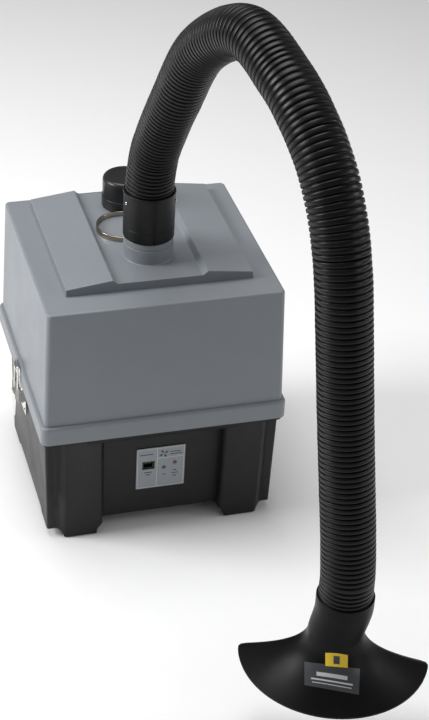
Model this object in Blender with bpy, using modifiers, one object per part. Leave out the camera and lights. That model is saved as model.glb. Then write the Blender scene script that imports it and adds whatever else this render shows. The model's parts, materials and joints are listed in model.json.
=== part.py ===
"""Solder fume extractor: a filter and blower box with a plug-in suction hose.

The box is a moulded base tub that holds the blower, and a grey hood over the filter cassette,
clamped to the tub by a toggle latch on each side. A stay-put corrugated hose stands on the
front port of the hood, arches forward over the bench and carries a half-round funnel nozzle.

Everything is laid out from the middle of the box on the bench (+X right, -Y front, +Z up),
and hangs under one empty that moves the middle of the whole object's footprint to the origin.
"""
import math

import bmesh
import bpy
from mathutils import Matrix, Vector

# ---------------------------------------------------------------- driving dimensions, metres
GAP = 0.0003            # clearance between pieces that touch
ORIGIN_SHIFT = Vector((-0.01715, 0.23812, 0.0))   # box middle to the middle of the footprint

# hood (grey upper shell)
RIM_Z = 0.341           # flat rim round the top of the hood
HOOD_X = 0.300          # size at the rim
HOOD_Y = 0.290
HOOD_DRAFT = 0.0052     # how much each wall leans out down to the flange
FLANGE_TOP = 0.181
FLANGE_BOTTOM = 0.156
FLANGE_X = 0.319
FLANGE_Y = 0.309
HOOD_WALL = 0.003
HOOD_CORNER = 0.0065
HOOD_EDGE = 0.0032
SEAL_LEDGE_Z = 0.164    # underside of the ledge that the gasket meets

# raised pads and the channel between them, on top of the hood
PAD_HALF_X = 0.119
PAD_FRONT = -0.105
PAD_BACK = 0.128
PAD_OUTER_H = 0.0095
PAD_INNER_H = 0.0170
PAD_INNER_X = 0.0600
CHANNEL_HALF_X = 0.0545
CHANNEL_H = 0.0100

# ports and hose
PORT_Y = -0.037         # hose port
CAPPED_Y = 0.093        # closed port
COLLAR_R = 0.0317
SPIGOT_R = 0.0298
BORE_R = 0.0265
HOSE_R = 0.0306
HOSE_WALL = 0.0022
CUFF_R = 0.0323
CUFF_BOTTOM = 0.3795
CUFF_TOP = 0.4430
ARM_AZIMUTH = math.radians(11.2)     # the arch's plane, turned from straight ahead to the right
# the hose's centre line in the arch's plane: (reach from the port's axis, height above bench)
HOSE_ROUTE = [
    (0.000, 0.412), (0.000, 0.446), (0.006, 0.482), (0.019, 0.516), (0.061, 0.589), (0.125, 0.682),
    (0.225, 0.743), (0.313, 0.729), (0.369, 0.703), (0.410, 0.670), (0.439, 0.627), (0.458, 0.575),
    (0.470, 0.518), (0.481, 0.460), (0.493, 0.399), (0.506, 0.337), (0.518, 0.279), (0.5255, 0.228),
    (0.5255, 0.192),
]
# where the hose changes between a stretch that holds its shape and one that bends, as a
# height on the rising side (first two) and on the falling side (the rest)
LIFT_BEND = (0.504, 0.594)
REACH_BEND = (0.694, 0.594)
TILT_BEND = (0.334, 0.259)

# nozzle
NOZZLE_TURN = math.radians(-20.9)    # its straight back edge, turned from +X
NOZZLE_R = 0.1093
NOZZLE_BACK = 0.0331     # from the funnel's centre back to the straight edge
NOZZLE_TIP = 0.0128      # how softly the two tips are rounded
NOZZLE_LEAN = Vector((-0.0064, -0.0024))   # from the neck's axis to the funnel's centre
NOZZLE_RIM_Z = 0.0899
NOZZLE_LIP = 0.003
NECK_MOUTH = (0.0326, 0.204)         # radius and height where the hose goes in
NECK_FOOT = (0.0317, 0.155)          # where the neck runs out into the flare
SOCKET_R = 0.0311
SOCKET_FLOOR = 0.1917
NOZZLE_WALL = 0.0024

# base tub (black lower shell)
LIP_Z = (0.1510, 0.1557)
TUB_FRONT = -0.150       # face of the two front pilasters
TUB_BACK = 0.099
TUB_X = 0.306
TUB_BOTTOM = 0.009       # height at which the taper below is reached
TUB_FLOOR = 0.0165       # underside between the feet
OUTER_FLOOR = 0.0112     # underside outside the feet
TUB_TAPER = 0.980        # size at the bottom over size at the top
TUB_WALL = 0.003
PILASTER_X = (0.080, 0.131)
RECESS_Y = -0.135
RECESS_TOP = 0.147
CORNER_Y = -0.141
FOOT_X = 0.1075
FOOT_SIDES = (0.086, 0.129)
FOOT_BACKS = (-0.102, 0.055)         # back of the front feet, front of the back feet
FOOT_Z = 0.0012
FOOT_Y = (-0.126, 0.077)

# toggle latches
LATCH_PIVOT = (0.1605, 0.144)        # lever pin: (distance from the middle plane, height)
BAIL_PIVOT = (0.1640, 0.1365)        # where the bail is pinned in the lever
LATCH_HALF = 0.015                   # half-width of the lever
LEVER_TIP_Z = 0.101
LEVER_FACE_Z = 0.1330                # the face stops below the bail, which swings over it
LEVER_FACE = 0.0062                  # from the pin out to the middle of the lever's face
KEEPER_FLOOR_Z = 0.1795
WIRE_R = 0.0011

# blower
BLOWER_Y = -0.020
DRUM_R = 0.094
DRUM_Z = (0.066, 0.1485)

PART = bpy.data.collections.new("solder_fume_extractor")
CUTTERS = bpy.data.collections.new("cutters")


# ---------------------------------------------------------------- helpers
def clear_scene():
    for obj in list(bpy.data.objects):
        bpy.data.objects.remove(obj, do_unlink=True)
    for collection in (PART, CUTTERS):
        bpy.context.scene.collection.children.link(collection)


def material(name, colour, roughness, metallic=0.0):
    mat = bpy.data.materials.get(name)
    if mat is None:
        mat = bpy.data.materials.new(name)
        mat.use_nodes = True
        bsdf = mat.node_tree.nodes["Principled BSDF"]
        bsdf.inputs["Base Color"].default_value = (*colour, 1.0)
        bsdf.inputs["Roughness"].default_value = roughness
        bsdf.inputs["Metallic"].default_value = metallic
    return mat


def grey_plastic():
    return material("grey_plastic", (0.42, 0.44, 0.46), 0.42)


def black_plastic():
    return material("black_plastic", (0.035, 0.035, 0.037), 0.42)


def hose_plastic():
    return material("hose_plastic", (0.018, 0.018, 0.019), 0.38)


def rubber():
    return material("rubber", (0.02, 0.02, 0.02), 0.75)


def plated_steel():
    return material("plated_steel", (0.75, 0.75, 0.73), 0.2, 1.0)


def sheet_steel():
    return material("sheet_steel", (0.55, 0.56, 0.57), 0.35, 1.0)


def new_object(name, mesh, mat, collection=PART):
    obj = bpy.data.objects.new(name, mesh)
    collection.objects.link(obj)
    if mat is not None:
        mesh.materials.clear()
        mesh.materials.append(mat)
    if collection is CUTTERS:
        obj.hide_render = True
        obj.display_type = "WIRE"
    return obj


def mesh_from(bm, name):
    bmesh.ops.recalc_face_normals(bm, faces=bm.faces)
    mesh = bpy.data.meshes.new(name)
    bm.to_mesh(mesh)
    bm.free()
    return mesh


def box_mesh(name, low, high, corner=0.0, edge=0.0, taper=1.0, segments=4):
    """A box between two corners. corner rounds the upright edges, edge the top edges,
    and taper scales the bottom face about the box's own upright axis."""
    low, high = Vector(low), Vector(high)
    size, middle = high - low, (high + low) / 2
    bm = bmesh.new()
    bmesh.ops.create_cube(bm, size=1.0)
    for v in bm.verts:
        v.co = Vector((v.co.x * size.x, v.co.y * size.y, v.co.z * size.z)) + middle
    if taper != 1.0:
        for v in bm.verts:
            if v.co.z < middle.z:
                v.co.x = middle.x + (v.co.x - middle.x) * taper
                v.co.y = middle.y + (v.co.y - middle.y) * taper
    if corner > 0:
        upright = [e for e in bm.edges if abs(e.verts[0].co.z - e.verts[1].co.z) > size.z / 2]
        bmesh.ops.bevel(bm, geom=upright, offset=corner, segments=segments, profile=0.5,
                        affect="EDGES")
    if edge > 0:
        top = [e for e in bm.edges if min(v.co.z for v in e.verts) > high.z - 1e-6]
        bmesh.ops.bevel(bm, geom=top, offset=edge, segments=3, profile=0.5, affect="EDGES")
    return mesh_from(bm, name)


def box(name, low, high, mat, collection=PART, **shape):
    return new_object(name, box_mesh(name, low, high, **shape), mat, collection)


def outline_mesh(name, points, depth, place=Matrix.Identity(4)):
    """A flat outline, extruded by depth centred on its own plane, then placed."""
    curve = bpy.data.curves.new(name, "CURVE")
    curve.dimensions = "2D"
    curve.fill_mode = "BOTH"
    curve.extrude = depth / 2
    spline = curve.splines.new("POLY")
    spline.points.add(len(points) - 1)
    for point, (x, y) in zip(spline.points, points):
        point.co = (x, y, 0.0, 1.0)
    spline.use_cyclic_u = True
    source = bpy.data.objects.new(name, curve)
    bpy.context.scene.collection.objects.link(source)
    bpy.context.view_layer.update()
    mesh = bpy.data.meshes.new_from_object(source.evaluated_get(bpy.context.evaluated_depsgraph_get()))
    bpy.data.objects.remove(source)
    bpy.data.curves.remove(curve)
    bm = bmesh.new()
    bm.from_mesh(mesh)
    bmesh.ops.remove_doubles(bm, verts=bm.verts, dist=1e-6)
    bmesh.ops.transform(bm, matrix=place, verts=bm.verts)
    bpy.data.meshes.remove(mesh)
    return mesh_from(bm, name)


def outline(name, points, depth, mat, place=Matrix.Identity(4), collection=PART):
    return new_object(name, outline_mesh(name, points, depth, place), mat, collection)


def lathe(name, profile, mat, collection=PART, centre=(0, 0, 0), steps=40):
    """A turned solid. The profile is (radius, height) and runs down the outside, then up
    the inside; it closes on itself, or on the axis when it starts and ends at radius 0."""
    on_axis = profile[0][0] == 0.0 and profile[-1][0] == 0.0
    mesh = bpy.data.meshes.new(name)
    verts = [(r, 0.0, z) for r, z in profile]
    edges = [(i, i + 1) for i in range(len(profile) - 1)]
    if not on_axis:
        edges.append((len(profile) - 1, 0))
    mesh.from_pydata(verts, edges, [])
    obj = new_object(name, mesh, mat, collection)
    obj.location = centre
    screw = obj.modifiers.new("Screw", "SCREW")
    screw.steps = steps
    screw.render_steps = steps
    screw.use_merge_vertices = True
    screw.merge_threshold = 0.00001
    return obj


def rod(name, start, end, radius, mat, collection=PART, sides=16):
    """A plain round bar between two points."""
    start, end = Vector(start), Vector(end)
    bm = bmesh.new()
    bmesh.ops.create_cone(bm, cap_ends=True, segments=sides, radius1=radius, radius2=radius,
                          depth=(end - start).length)
    turn = (end - start).to_track_quat("Z", "Y").to_matrix().to_4x4()
    bmesh.ops.transform(bm, matrix=Matrix.Translation((start + end) / 2) @ turn, verts=bm.verts)
    return new_object(name, mesh_from(bm, name), mat, collection)


def combine(target, other, operation):
    mod = target.modifiers.new(operation.title(), "BOOLEAN")
    mod.operation = operation
    mod.solver = "EXACT"
    mod.object = other


def cut(target, *cutters):
    for cutter in cutters:
        combine(target, cutter, "DIFFERENCE")


def join(target, *others):
    for other in others:
        combine(target, other, "UNION")


def cutter_box(name, low, high, **shape):
    return box(name, low, high, None, CUTTERS, **shape)


def cutter_rod(name, start, end, radius, sides=32):
    return rod(name, start, end, radius, None, CUTTERS, sides)


def arc(cx, cy, radius, start_deg, end_deg, count):
    """Points along a circular arc, both ends included."""
    step = (end_deg - start_deg) / count
    angles = [math.radians(start_deg + step * i) for i in range(count + 1)]
    return [(cx + radius * math.cos(a), cy + radius * math.sin(a)) for a in angles]


def tube_along(name, points, radius, mat, caps=True, resolution=4, collection=PART):
    """A round bar along a list of points, as a closed mesh or an open skin."""
    curve = bpy.data.curves.new(name, "CURVE")
    curve.dimensions = "3D"
    curve.bevel_depth = radius
    curve.bevel_resolution = resolution
    curve.use_fill_caps = caps
    curve.render_resolution_u = 0
    spline = curve.splines.new("POLY")
    spline.points.add(len(points) - 1)
    for point, co in zip(spline.points, points):
        point.co = (*co, 1.0)
    source = bpy.data.objects.new(name, curve)
    bpy.context.scene.collection.objects.link(source)
    bpy.context.view_layer.update()
    mesh = bpy.data.meshes.new_from_object(source.evaluated_get(bpy.context.evaluated_depsgraph_get()))
    bpy.data.objects.remove(source)
    bm = bmesh.new()
    bm.from_mesh(mesh)
    bmesh.ops.remove_doubles(bm, verts=bm.verts, dist=1e-6)
    bpy.data.meshes.remove(mesh)
    return new_object(name, mesh_from(bm, name), mat, collection)


# ---------------------------------------------------------------- hood
def pad_section(inset):
    """Half-section across the hood's top, from the rim up over a pad and into the channel."""
    half = [(PAD_HALF_X - inset, RIM_Z - 0.0080),
            (PAD_HALF_X - inset, RIM_Z + PAD_OUTER_H - inset),
            (PAD_INNER_X + inset * 0.4, RIM_Z + PAD_INNER_H - inset),
            (CHANNEL_HALF_X + inset * 0.4, RIM_Z + CHANNEL_H - inset)]
    return half + [(-x, z) for x, z in reversed(half)]


def pads(name, inset):
    middle = (PAD_FRONT + PAD_BACK) / 2
    stand = Matrix.Translation((0, middle, 0)) @ Matrix.Rotation(math.radians(90), 4, "X")
    return outline(name, pad_section(inset), PAD_BACK - PAD_FRONT - 2 * inset, None, stand, CUTTERS)


def hood():
    draft = HOOD_DRAFT
    walls_low = (-HOOD_X / 2, -HOOD_Y / 2, FLANGE_TOP - 0.006)
    walls_high = (HOOD_X / 2, HOOD_Y / 2, RIM_Z)
    spread = 1 + 2 * draft / HOOD_X
    shell = box("hood", walls_low, walls_high, grey_plastic(), corner=HOOD_CORNER, edge=HOOD_EDGE,
                taper=spread, segments=5)
    band = cutter_box("hood_band", (-FLANGE_X / 2, -FLANGE_Y / 2, FLANGE_BOTTOM),
                      (FLANGE_X / 2, FLANGE_Y / 2, FLANGE_TOP), corner=0.010, edge=0.0035, segments=5)
    join(shell, band, pads("pads_outside", 0.0))
    channel_top = RIM_Z + CHANNEL_H
    port = lathe("port_collar", [(0, 0.405), (SPIGOT_R - 0.001, 0.405), (SPIGOT_R, 0.404),
                                 (SPIGOT_R, CUFF_BOTTOM - 0.0004), (COLLAR_R - 0.0010, CUFF_BOTTOM - 0.0008),
                                 (COLLAR_R - 0.0010, channel_top + 0.0190), (COLLAR_R, channel_top + 0.0185),
                                 (COLLAR_R, RIM_Z + 0.004), (0, RIM_Z + 0.004)],
                 None, CUTTERS, (0, PORT_Y, 0))
    capped = lathe("capped_collar", [(0, 0.378), (0.0262, 0.378), (0.0270, 0.377),
                                     (0.0270, RIM_Z + 0.004), (0, RIM_Z + 0.004)],
                   None, CUTTERS, (0, CAPPED_Y, 0))
    join(shell, port, capped)
    inner_x = HOOD_X / 2 - HOOD_WALL
    inner_y = HOOD_Y / 2 - HOOD_WALL
    room = cutter_box("hood_room", (-inner_x, -inner_y, FLANGE_BOTTOM - 0.01),
                      (inner_x, inner_y, RIM_Z - HOOD_WALL), corner=0.006, edge=0.003,
                      taper=1 + 2 * draft / HOOD_X, segments=3)
    skirt = cutter_box("skirt_room", (-FLANGE_X / 2 + HOOD_WALL, -FLANGE_Y / 2 + HOOD_WALL, FLANGE_BOTTOM - 0.01),
                       (FLANGE_X / 2 - HOOD_WALL, FLANGE_Y / 2 - HOOD_WALL, SEAL_LEDGE_Z),
                       corner=0.007, segments=3)
    cut(shell, room, skirt, pads("pads_inside", HOOD_WALL))
    for name, y, radius in (("port_bore", PORT_Y, BORE_R), ("capped_bore", CAPPED_Y, 0.0240)):
        cut(shell, cutter_rod(name, (0, y, 0.30), (0, y, 0.45), radius, 48))
    return shell


def port_cap():
    """Closing cap over the rear port."""
    foot = RIM_Z + CHANNEL_H + GAP
    top = foot + 0.042
    dome = arc(0.0293 - 0.007, top - 0.007, 0.007, 90, 0, 3)
    profile = [(0, top)] + dome
    profile += [(0.0293, foot + 0.0150), (0.0303, foot + 0.0140), (0.0303, foot + 0.0010), (0.0293, foot),
                (0.0274, foot), (0.0274, 0.3785), (0.0262, top - 0.003), (0, top - 0.003)]
    return lathe("port_cap", profile, black_plastic(), centre=(0, CAPPED_Y, 0))


def trim_ring():
    """Thin metal ring that stands on the channel floor between the two ports."""
    foot = RIM_Z + CHANNEL_H + GAP
    outside, inside, height, round_off = 0.0348, 0.0324, 0.0065, 0.0007
    profile = [(outside - round_off, foot + height), (outside, foot + height - round_off),
               (outside, foot + round_off), (outside - round_off, foot),
               (inside + round_off, foot), (inside, foot + round_off),
               (inside, foot + height - round_off), (inside + round_off, foot + height)]
    brass = material("tinted_brass", (0.45, 0.30, 0.16), 0.25, 1.0)
    return lathe("trim_ring", profile, brass, centre=(-0.0170, 0.0287, 0))


# ---------------------------------------------------------------- hose
def arm_point(reach, height):
    return Vector((math.sin(ARM_AZIMUTH) * reach, PORT_Y - math.cos(ARM_AZIMUTH) * reach, height))


def smooth_route(samples=12):
    """A smooth curve through the route's points (Catmull-Rom)."""
    points = [Vector((s, z)) for s, z in HOSE_ROUTE]
    padded = [points[0] - (points[1] - points[0])] + points + [points[-1] * 2 - points[-2]]
    line = []
    for i in range(1, len(padded) - 2):
        a, b, c, d = padded[i - 1:i + 3]
        for step in range(samples):
            t = step / samples
            at = 0.5 * ((2 * b) + (c - a) * t + (2 * a - 5 * b + 4 * c - d) * t * t
                        + (3 * b - a - 3 * c + d) * t * t * t)
            # both plugged-in ends stay upright
            at.x = min(max(at.x, points[0].x), points[-1].x)
            line.append(at)
    line.append(points[-1])
    return line


def route_between(start_height, end_height, rising=None, spacing=0.022, gap=GAP):
    """Evenly spaced points of the hose's centre line between two heights on it, and its
    direction at both. rising says on which side of the arch each of the heights is."""
    line = smooth_route()
    crown = max(range(len(line)), key=lambda i: line[i].y)

    def index(height, up):
        if up:
            return next(i for i in range(crown + 1) if line[i].y >= height - 1e-6)
        return next(i for i in range(crown, len(line)) if line[i].y <= height + 1e-6)

    first, last = index(start_height, rising[0]), index(end_height, rising[1])
    stretch = line[first:last + 1]
    lengths = [0.0]
    for a, b in zip(stretch, stretch[1:]):
        lengths.append(lengths[-1] + (b - a).length)
    count = max(2, round(lengths[-1] / spacing))
    targets = [gap / 2 + (lengths[-1] - gap) * i / count for i in range(count + 1)]
    points = []
    for target in targets:
        k = next(i for i in range(1, len(lengths)) if lengths[i] >= target - 1e-12)
        t = (target - lengths[k - 1]) / (lengths[k] - lengths[k - 1])
        at = stretch[k - 1].lerp(stretch[k], t)
        points.append(arm_point(at.x, at.y))
    ends = []
    for i in (first, last):
        a, b = line[max(i - 1, 0)], line[min(i + 1, len(line) - 1)]
        ends.append((arm_point(b.x, b.y) - arm_point(a.x, a.y)).normalized())
    return points, ends


def hose_piece(name, start, end, rising):
    """One stretch of the hose: an open skin along the route, made solid inwards. Both of its
    ends are squared to the route, so that it meets the next stretch evenly."""
    points, ends = route_between(start, end, rising)
    skin = tube_along(name, points, HOSE_R, hose_plastic(), caps=False, resolution=5)
    for point, along in zip((points[0], points[-1]), ends):
        for v in skin.data.vertices:
            off = v.co - point
            if off.length < HOSE_R + GAP:
                v.co -= along * off.dot(along)
    wall = skin.modifiers.new("Wall", "SOLIDIFY")
    wall.thickness = HOSE_WALL
    wall.offset = -1.0
    wall.use_even_offset = False
    return skin


def hose():
    up, down = True, False
    bottom = HOSE_ROUTE[0][1]
    end = HOSE_ROUTE[-1][1]
    hose_piece("hose_riser", bottom, LIFT_BEND[0], (up, up))
    hose_piece("hose_lift_bend", LIFT_BEND[0], LIFT_BEND[1], (up, up))
    hose_piece("hose_arch", LIFT_BEND[1], REACH_BEND[0], (up, down))
    hose_piece("hose_reach_bend", REACH_BEND[0], REACH_BEND[1], (down, down))
    hose_piece("hose_drop", REACH_BEND[1], TILT_BEND[0], (down, down))
    hose_piece("hose_tilt_bend", TILT_BEND[0], TILT_BEND[1], (down, down))
    hose_piece("hose_tail", TILT_BEND[1], end, (down, down))


def hose_cuff():
    """Smooth plug-in cuff between the hood's spigot and the hose."""
    foot, top = CUFF_BOTTOM, CUFF_TOP
    profile = [(CUFF_R + 0.0006, top), (CUFF_R + 0.0006, top - 0.003), (CUFF_R, top - 0.004),
               (CUFF_R, foot + 0.001), (CUFF_R - 0.001, foot),
               (SPIGOT_R + GAP, foot), (SPIGOT_R + GAP, 0.4060), (0.0275, 0.4060), (0.0275, 0.4112),
               (HOSE_R + 0.0009, 0.4112), (HOSE_R + 0.0009, top)]
    cuff = lathe("hose_cuff", profile, hose_plastic(), centre=(0, PORT_Y, 0))
    return cuff


def cuff_screws():
    """Two small screws that hold the hose's end in its cuff."""
    for name, turn in (("cuff_screw_right", -22.0), ("cuff_screw_left", 196.0)):
        out = Vector((math.cos(math.radians(turn)), math.sin(math.radians(turn)), 0))
        at = Vector((0, PORT_Y, 0.4300)) + out * (CUFF_R + GAP)
        rod(name, at, at + out * 0.0012, 0.0022, plated_steel(), sides=12)


# ---------------------------------------------------------------- nozzle
def rim_outline(count, radius, back, corner):
    """The half-round rim, as points by angle round the neck's axis, front towards -Y."""
    points = []
    for i in range(count):
        a = 2 * math.pi * i / count
        ray = Vector((math.cos(a), math.sin(a)))
        # distance along the ray to the round front, whose centre is on the straight back
        b = ray.y * back
        front = b + math.sqrt(max(0.0, b * b - back * back + radius * radius))
        flat = back / ray.y if ray.y > 1e-9 else 1e9
        # a smooth minimum rounds the two tips
        k = corner
        reach = -k * math.log(math.exp(-front / k) + math.exp(-min(flat, 1.0) / k))
        points.append(ray * reach)
    return points


def nozzle_levels(steps=8):
    """Heights down the nozzle, each with the neck's radius, how far the funnel's centre has
    been reached and how far the ring has changed from the round neck to the rim."""
    radius, mouth = NECK_MOUTH
    foot_radius, foot = NECK_FOOT
    bend = SOCKET_FLOOR - 0.0017
    levels = [(mouth, radius, 0.0, 0.0), (bend, radius, 0.0, 0.0)]
    for i in range(1, 4):
        t = i / 3
        levels.append((bend + (foot - bend) * t, radius + (foot_radius - radius) * t, t * t * (2.0 - t), 0.0))
    lip_top = NOZZLE_RIM_Z + NOZZLE_LIP
    for i in range(1, steps + 1):
        u = i / steps
        levels.append((foot + (lip_top - foot) * u, foot_radius, 1.0, u * u))
    levels.append((NOZZLE_RIM_Z, foot_radius, 1.0, 1.0))
    return levels


def nozzle_ring(neck, rim, level, wall):
    height, radius, lean, share = level
    points = []
    for n, r in zip(neck, rim):
        flat = NOZZLE_LEAN * lean + (n * (radius - wall)).lerp(r - r.normalized() * wall, share)
        points.append((flat.x, flat.y, height))
    return points


def nozzle():
    """Half-round funnel: a neck with a socket for the hose, leaning into a concave flare."""
    count = 44
    rim = rim_outline(count, NOZZLE_R, NOZZLE_BACK, NOZZLE_TIP)
    neck = [Vector((math.cos(2 * math.pi * i / count), math.sin(2 * math.pi * i / count))) for i in range(count)]
    levels = nozzle_levels()
    rings = [nozzle_ring(neck, rim, level, 0.0) for level in levels]
    bore = levels[1][1] - NECK_FOOT[0] + NOZZLE_WALL
    inside = [nozzle_ring(neck, rim, levels[0], NECK_MOUTH[0] - SOCKET_R),
              nozzle_ring(neck, rim, (SOCKET_FLOOR, *levels[0][1:]), NECK_MOUTH[0] - SOCKET_R),
              nozzle_ring(neck, rim, (SOCKET_FLOOR, *levels[0][1:]), bore)]
    for height, radius, lean, share in levels[2:]:
        drop = NOZZLE_WALL if 0 < share and height > NOZZLE_RIM_Z else 0.0
        inside.append(nozzle_ring(neck, rim, (height - drop, radius, lean, share), NOZZLE_WALL))
    rings += list(reversed(inside))
    bm = bmesh.new()
    loops = [[bm.verts.new(p) for p in points] for points in rings]
    for a, b in zip(loops, loops[1:] + loops[:1]):
        for i in range(count):
            j = (i + 1) % count
            bm.faces.new((a[i], a[j], b[j], b[i]))
    obj = new_object("nozzle", mesh_from(bm, "nozzle"), hose_plastic())
    obj.location = arm_point(HOSE_ROUTE[-1][0], 0.0)
    obj.rotation_euler = (0, 0, NOZZLE_TURN)
    return obj


# ---------------------------------------------------------------- base tub
def tub_plan(inset):
    """Plan of the tub: flat back, plain sides, two front pilasters and recessed corners."""
    half = [(TUB_X / 2 - inset, TUB_BACK - inset),
            (TUB_X / 2 - inset, CORNER_Y + inset),
            (PILASTER_X[1] + 0.009 - inset * 0.4, CORNER_Y + inset),
            (PILASTER_X[1] - inset * 0.8, TUB_FRONT + inset),
            (PILASTER_X[0] + inset, TUB_FRONT + inset),
            (PILASTER_X[0] - 0.002 + inset, RECESS_Y + inset)]
    return half + [(-x, y) for x, y in reversed(half)]


def tub_block(name, inset, bottom, top, mat, collection):
    middle = (bottom + top) / 2
    mesh = outline_mesh(name, tub_plan(inset), top - bottom, Matrix.Translation((0, 0, middle)))
    bm = bmesh.new()
    bm.from_mesh(mesh)
    depth = LIP_Z[0] - TUB_BOTTOM
    for v in bm.verts:
        lean = 1 - (1 - TUB_TAPER) * (LIP_Z[0] - v.co.z) / depth
        v.co.x *= lean
        v.co.y *= lean if v.co.y < 0 else 1.0
    upright = [e for e in bm.edges if abs(e.verts[0].co.z - e.verts[1].co.z) > 0.01
               and len(e.link_faces) == 2 and e.calc_face_angle(0) > 0.3]
    bmesh.ops.bevel(bm, geom=upright, offset=0.0032, segments=3, profile=0.5, affect="EDGES",
                    clamp_overlap=True)
    return new_object(name, mesh_from(bm, name), mat, collection)


def across(name, points, axis):
    """A cutter that runs right through the tub, from an outline across X or across Y."""
    if axis == "Y":
        stand = Matrix.Rotation(math.radians(90), 4, "X")
    else:
        stand = Matrix(((0, 0, 1, 0), (1, 0, 0, 0), (0, 1, 0, 0), (0, 0, 0, 1)))
    return outline(name, points, 0.40, None, stand, CUTTERS)


def foot_spaces():
    """The spaces that leave four feet under the tub: between them each way, and outside."""
    inner, outer = FOOT_SIDES
    soft = 0.013
    half = [(inner, -0.01)] + arc(inner - soft, TUB_FLOOR - soft, soft, 0, 90, 5)
    middle = across("space_between", half + [(-x, z) for x, z in reversed(half)], "Y")
    soft = OUTER_FLOOR - FOOT_Z
    flare = [(outer, -0.01)] + arc(outer + soft, OUTER_FLOOR - soft, soft, 180, 90, 5)
    flare += [(0.20, OUTER_FLOOR), (0.20, -0.01)]
    sides = [across("space_right", flare, "Y"), across("space_left", [(-x, z) for x, z in flare], "Y")]
    front, back = FOOT_BACKS
    soft = 0.010
    arch = [(front, -0.01)] + arc(front + soft, TUB_FLOOR - soft, soft, 180, 90, 4)
    arch += arc(back - soft, TUB_FLOOR - soft, soft, 90, 0, 4) + [(back, -0.01)]
    return [middle, *sides, across("space_through", arch, "X")]


def base_tub():
    tub = tub_block("base_tub", 0.0, FOOT_Z, LIP_Z[0] + 0.001, black_plastic(), PART)
    cut(tub, *foot_spaces())
    brow = cutter_box("recess_brow", (-0.10, TUB_FRONT, RECESS_TOP), (0.10, RECESS_Y + 0.01, LIP_Z[0] + 0.001))
    lip = cutter_box("tub_lip", (-0.1560, -0.1510, LIP_Z[0]), (0.1560, 0.1510, LIP_Z[1]), corner=0.007,
                     segments=4)
    upstand = cutter_box("tub_upstand", (-0.1508, -0.1458, LIP_Z[1] - 0.001), (0.1508, 0.1458, 0.1680),
                         corner=0.006, segments=3)
    join(tub, brow, lip, upstand)
    room = tub_block("tub_room", TUB_WALL, TUB_FLOOR + TUB_WALL, LIP_Z[0] - 0.001, None, CUTTERS)
    mouth = cutter_box("tub_mouth", (-0.1380, -0.1290, LIP_Z[0] - 0.002), (0.1380, TUB_BACK - 0.004, 0.20))
    above = cutter_box("tub_above", (-0.1478, -0.1428, LIP_Z[1]), (0.1478, 0.1428, 0.20))
    cut(tub, room, mouth, above)
    for x in (-FOOT_X, FOOT_X):
        for y in FOOT_Y:
            cut(tub, cutter_rod("pad_seat", (x, y, -0.01), (x, y, 0.0046), 0.0103, 24))
    cut(tub, socket_window("socket_window"))
    for x, z in LAMPS.values():
        cut(tub, cutter_rod("lamp_window", (x, -0.16, z), (x, -0.12, z), 0.0028, 16))
    back = TUB_BACK
    cut(tub, cutter_box("exhaust_window", (-0.1150, back - 0.02, 0.070), (-0.0350, back + 0.01, 0.130)),
        cutter_box("inlet_window", (0.0650, back - 0.02, 0.0840), (0.0930, back + 0.01, 0.1060)),
        cutter_box("switch_window", (0.0330, back - 0.02, 0.0820), (0.0530, back + 0.01, 0.1080)),
        cutter_box("fuse_window", (0.0680, back - 0.02, 0.0600), (0.0900, back + 0.01, 0.0740)))
    return tub


LAMPS = {"status_lamp": (0.0045, 0.0853), "alarm_lamp": (0.0190, 0.0915)}
SOCKET_X = (-0.0245, -0.0080)
SOCKET_Z = (0.0850, 0.0975)
PANEL_Z = 0.0865
PANEL_HALF = 0.0323


def front_plane(z):
    """The recess's face at a height, with the tub's taper."""
    lean = 1 - (1 - TUB_TAPER) * (LIP_Z[0] - z) / (LIP_Z[0] - TUB_BOTTOM)
    return RECESS_Y * lean


def socket_window(name):
    return cutter_box(name, (SOCKET_X[0], -0.16, SOCKET_Z[0]), (SOCKET_X[1], -0.12, SOCKET_Z[1]))


def front_panel():
    """Label plate with windows for the socket and the lamps, tilted with the tub's wall."""
    tilt = math.atan2(front_plane(0) - front_plane(0.1), 0.1)
    plate = box("front_panel", (-PANEL_HALF, -0.0008, -PANEL_HALF), (PANEL_HALF, 0.0, PANEL_HALF), sheet_steel())
    plate.location = (0, front_plane(PANEL_Z) - GAP, PANEL_Z)
    plate.rotation_euler = (tilt, 0, 0)
    cut(plate, socket_window("panel_socket_window"))
    for x, z in LAMPS.values():
        cut(plate, cutter_rod("panel_lamp_window", (x, -0.16, z), (x, -0.12, z), 0.0028, 16))

    (left, right), (low, high) = SOCKET_X, SOCKET_Z
    socket = box("interface_socket", (left + GAP, -0.1334, low + GAP), (right - GAP, -0.1190, high - GAP),
                 black_plastic())
    rim = 0.0023
    cut(socket, cutter_box("socket_mouth", (left + rim, -0.16, low + rim), (right - rim, -0.1230, high - rim)))
    for name, (x, z) in LAMPS.items():
        red = name == "alarm_lamp"
        tint = material(name, (0.5, 0.05, 0.04) if red else (0.05, 0.4, 0.08), 0.2)
        rod(name, (x, -0.1345, z), (x, -0.1220, z), 0.0025, tint, sides=16)


def rubber_feet():
    for name, x, y in (("foot_pad_front_left", -FOOT_X, FOOT_Y[0]), ("foot_pad_front_right", FOOT_X, FOOT_Y[0]),
                       ("foot_pad_back_left", -FOOT_X, FOOT_Y[1]), ("foot_pad_back_right", FOOT_X, FOOT_Y[1])):
        lathe(name, [(0, 0.0043), (0.0100, 0.0043), (0.0100, 0.0006), (0.0094, 0.0), (0, 0.0)],
              rubber(), centre=(x, y, 0), steps=24)


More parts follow.
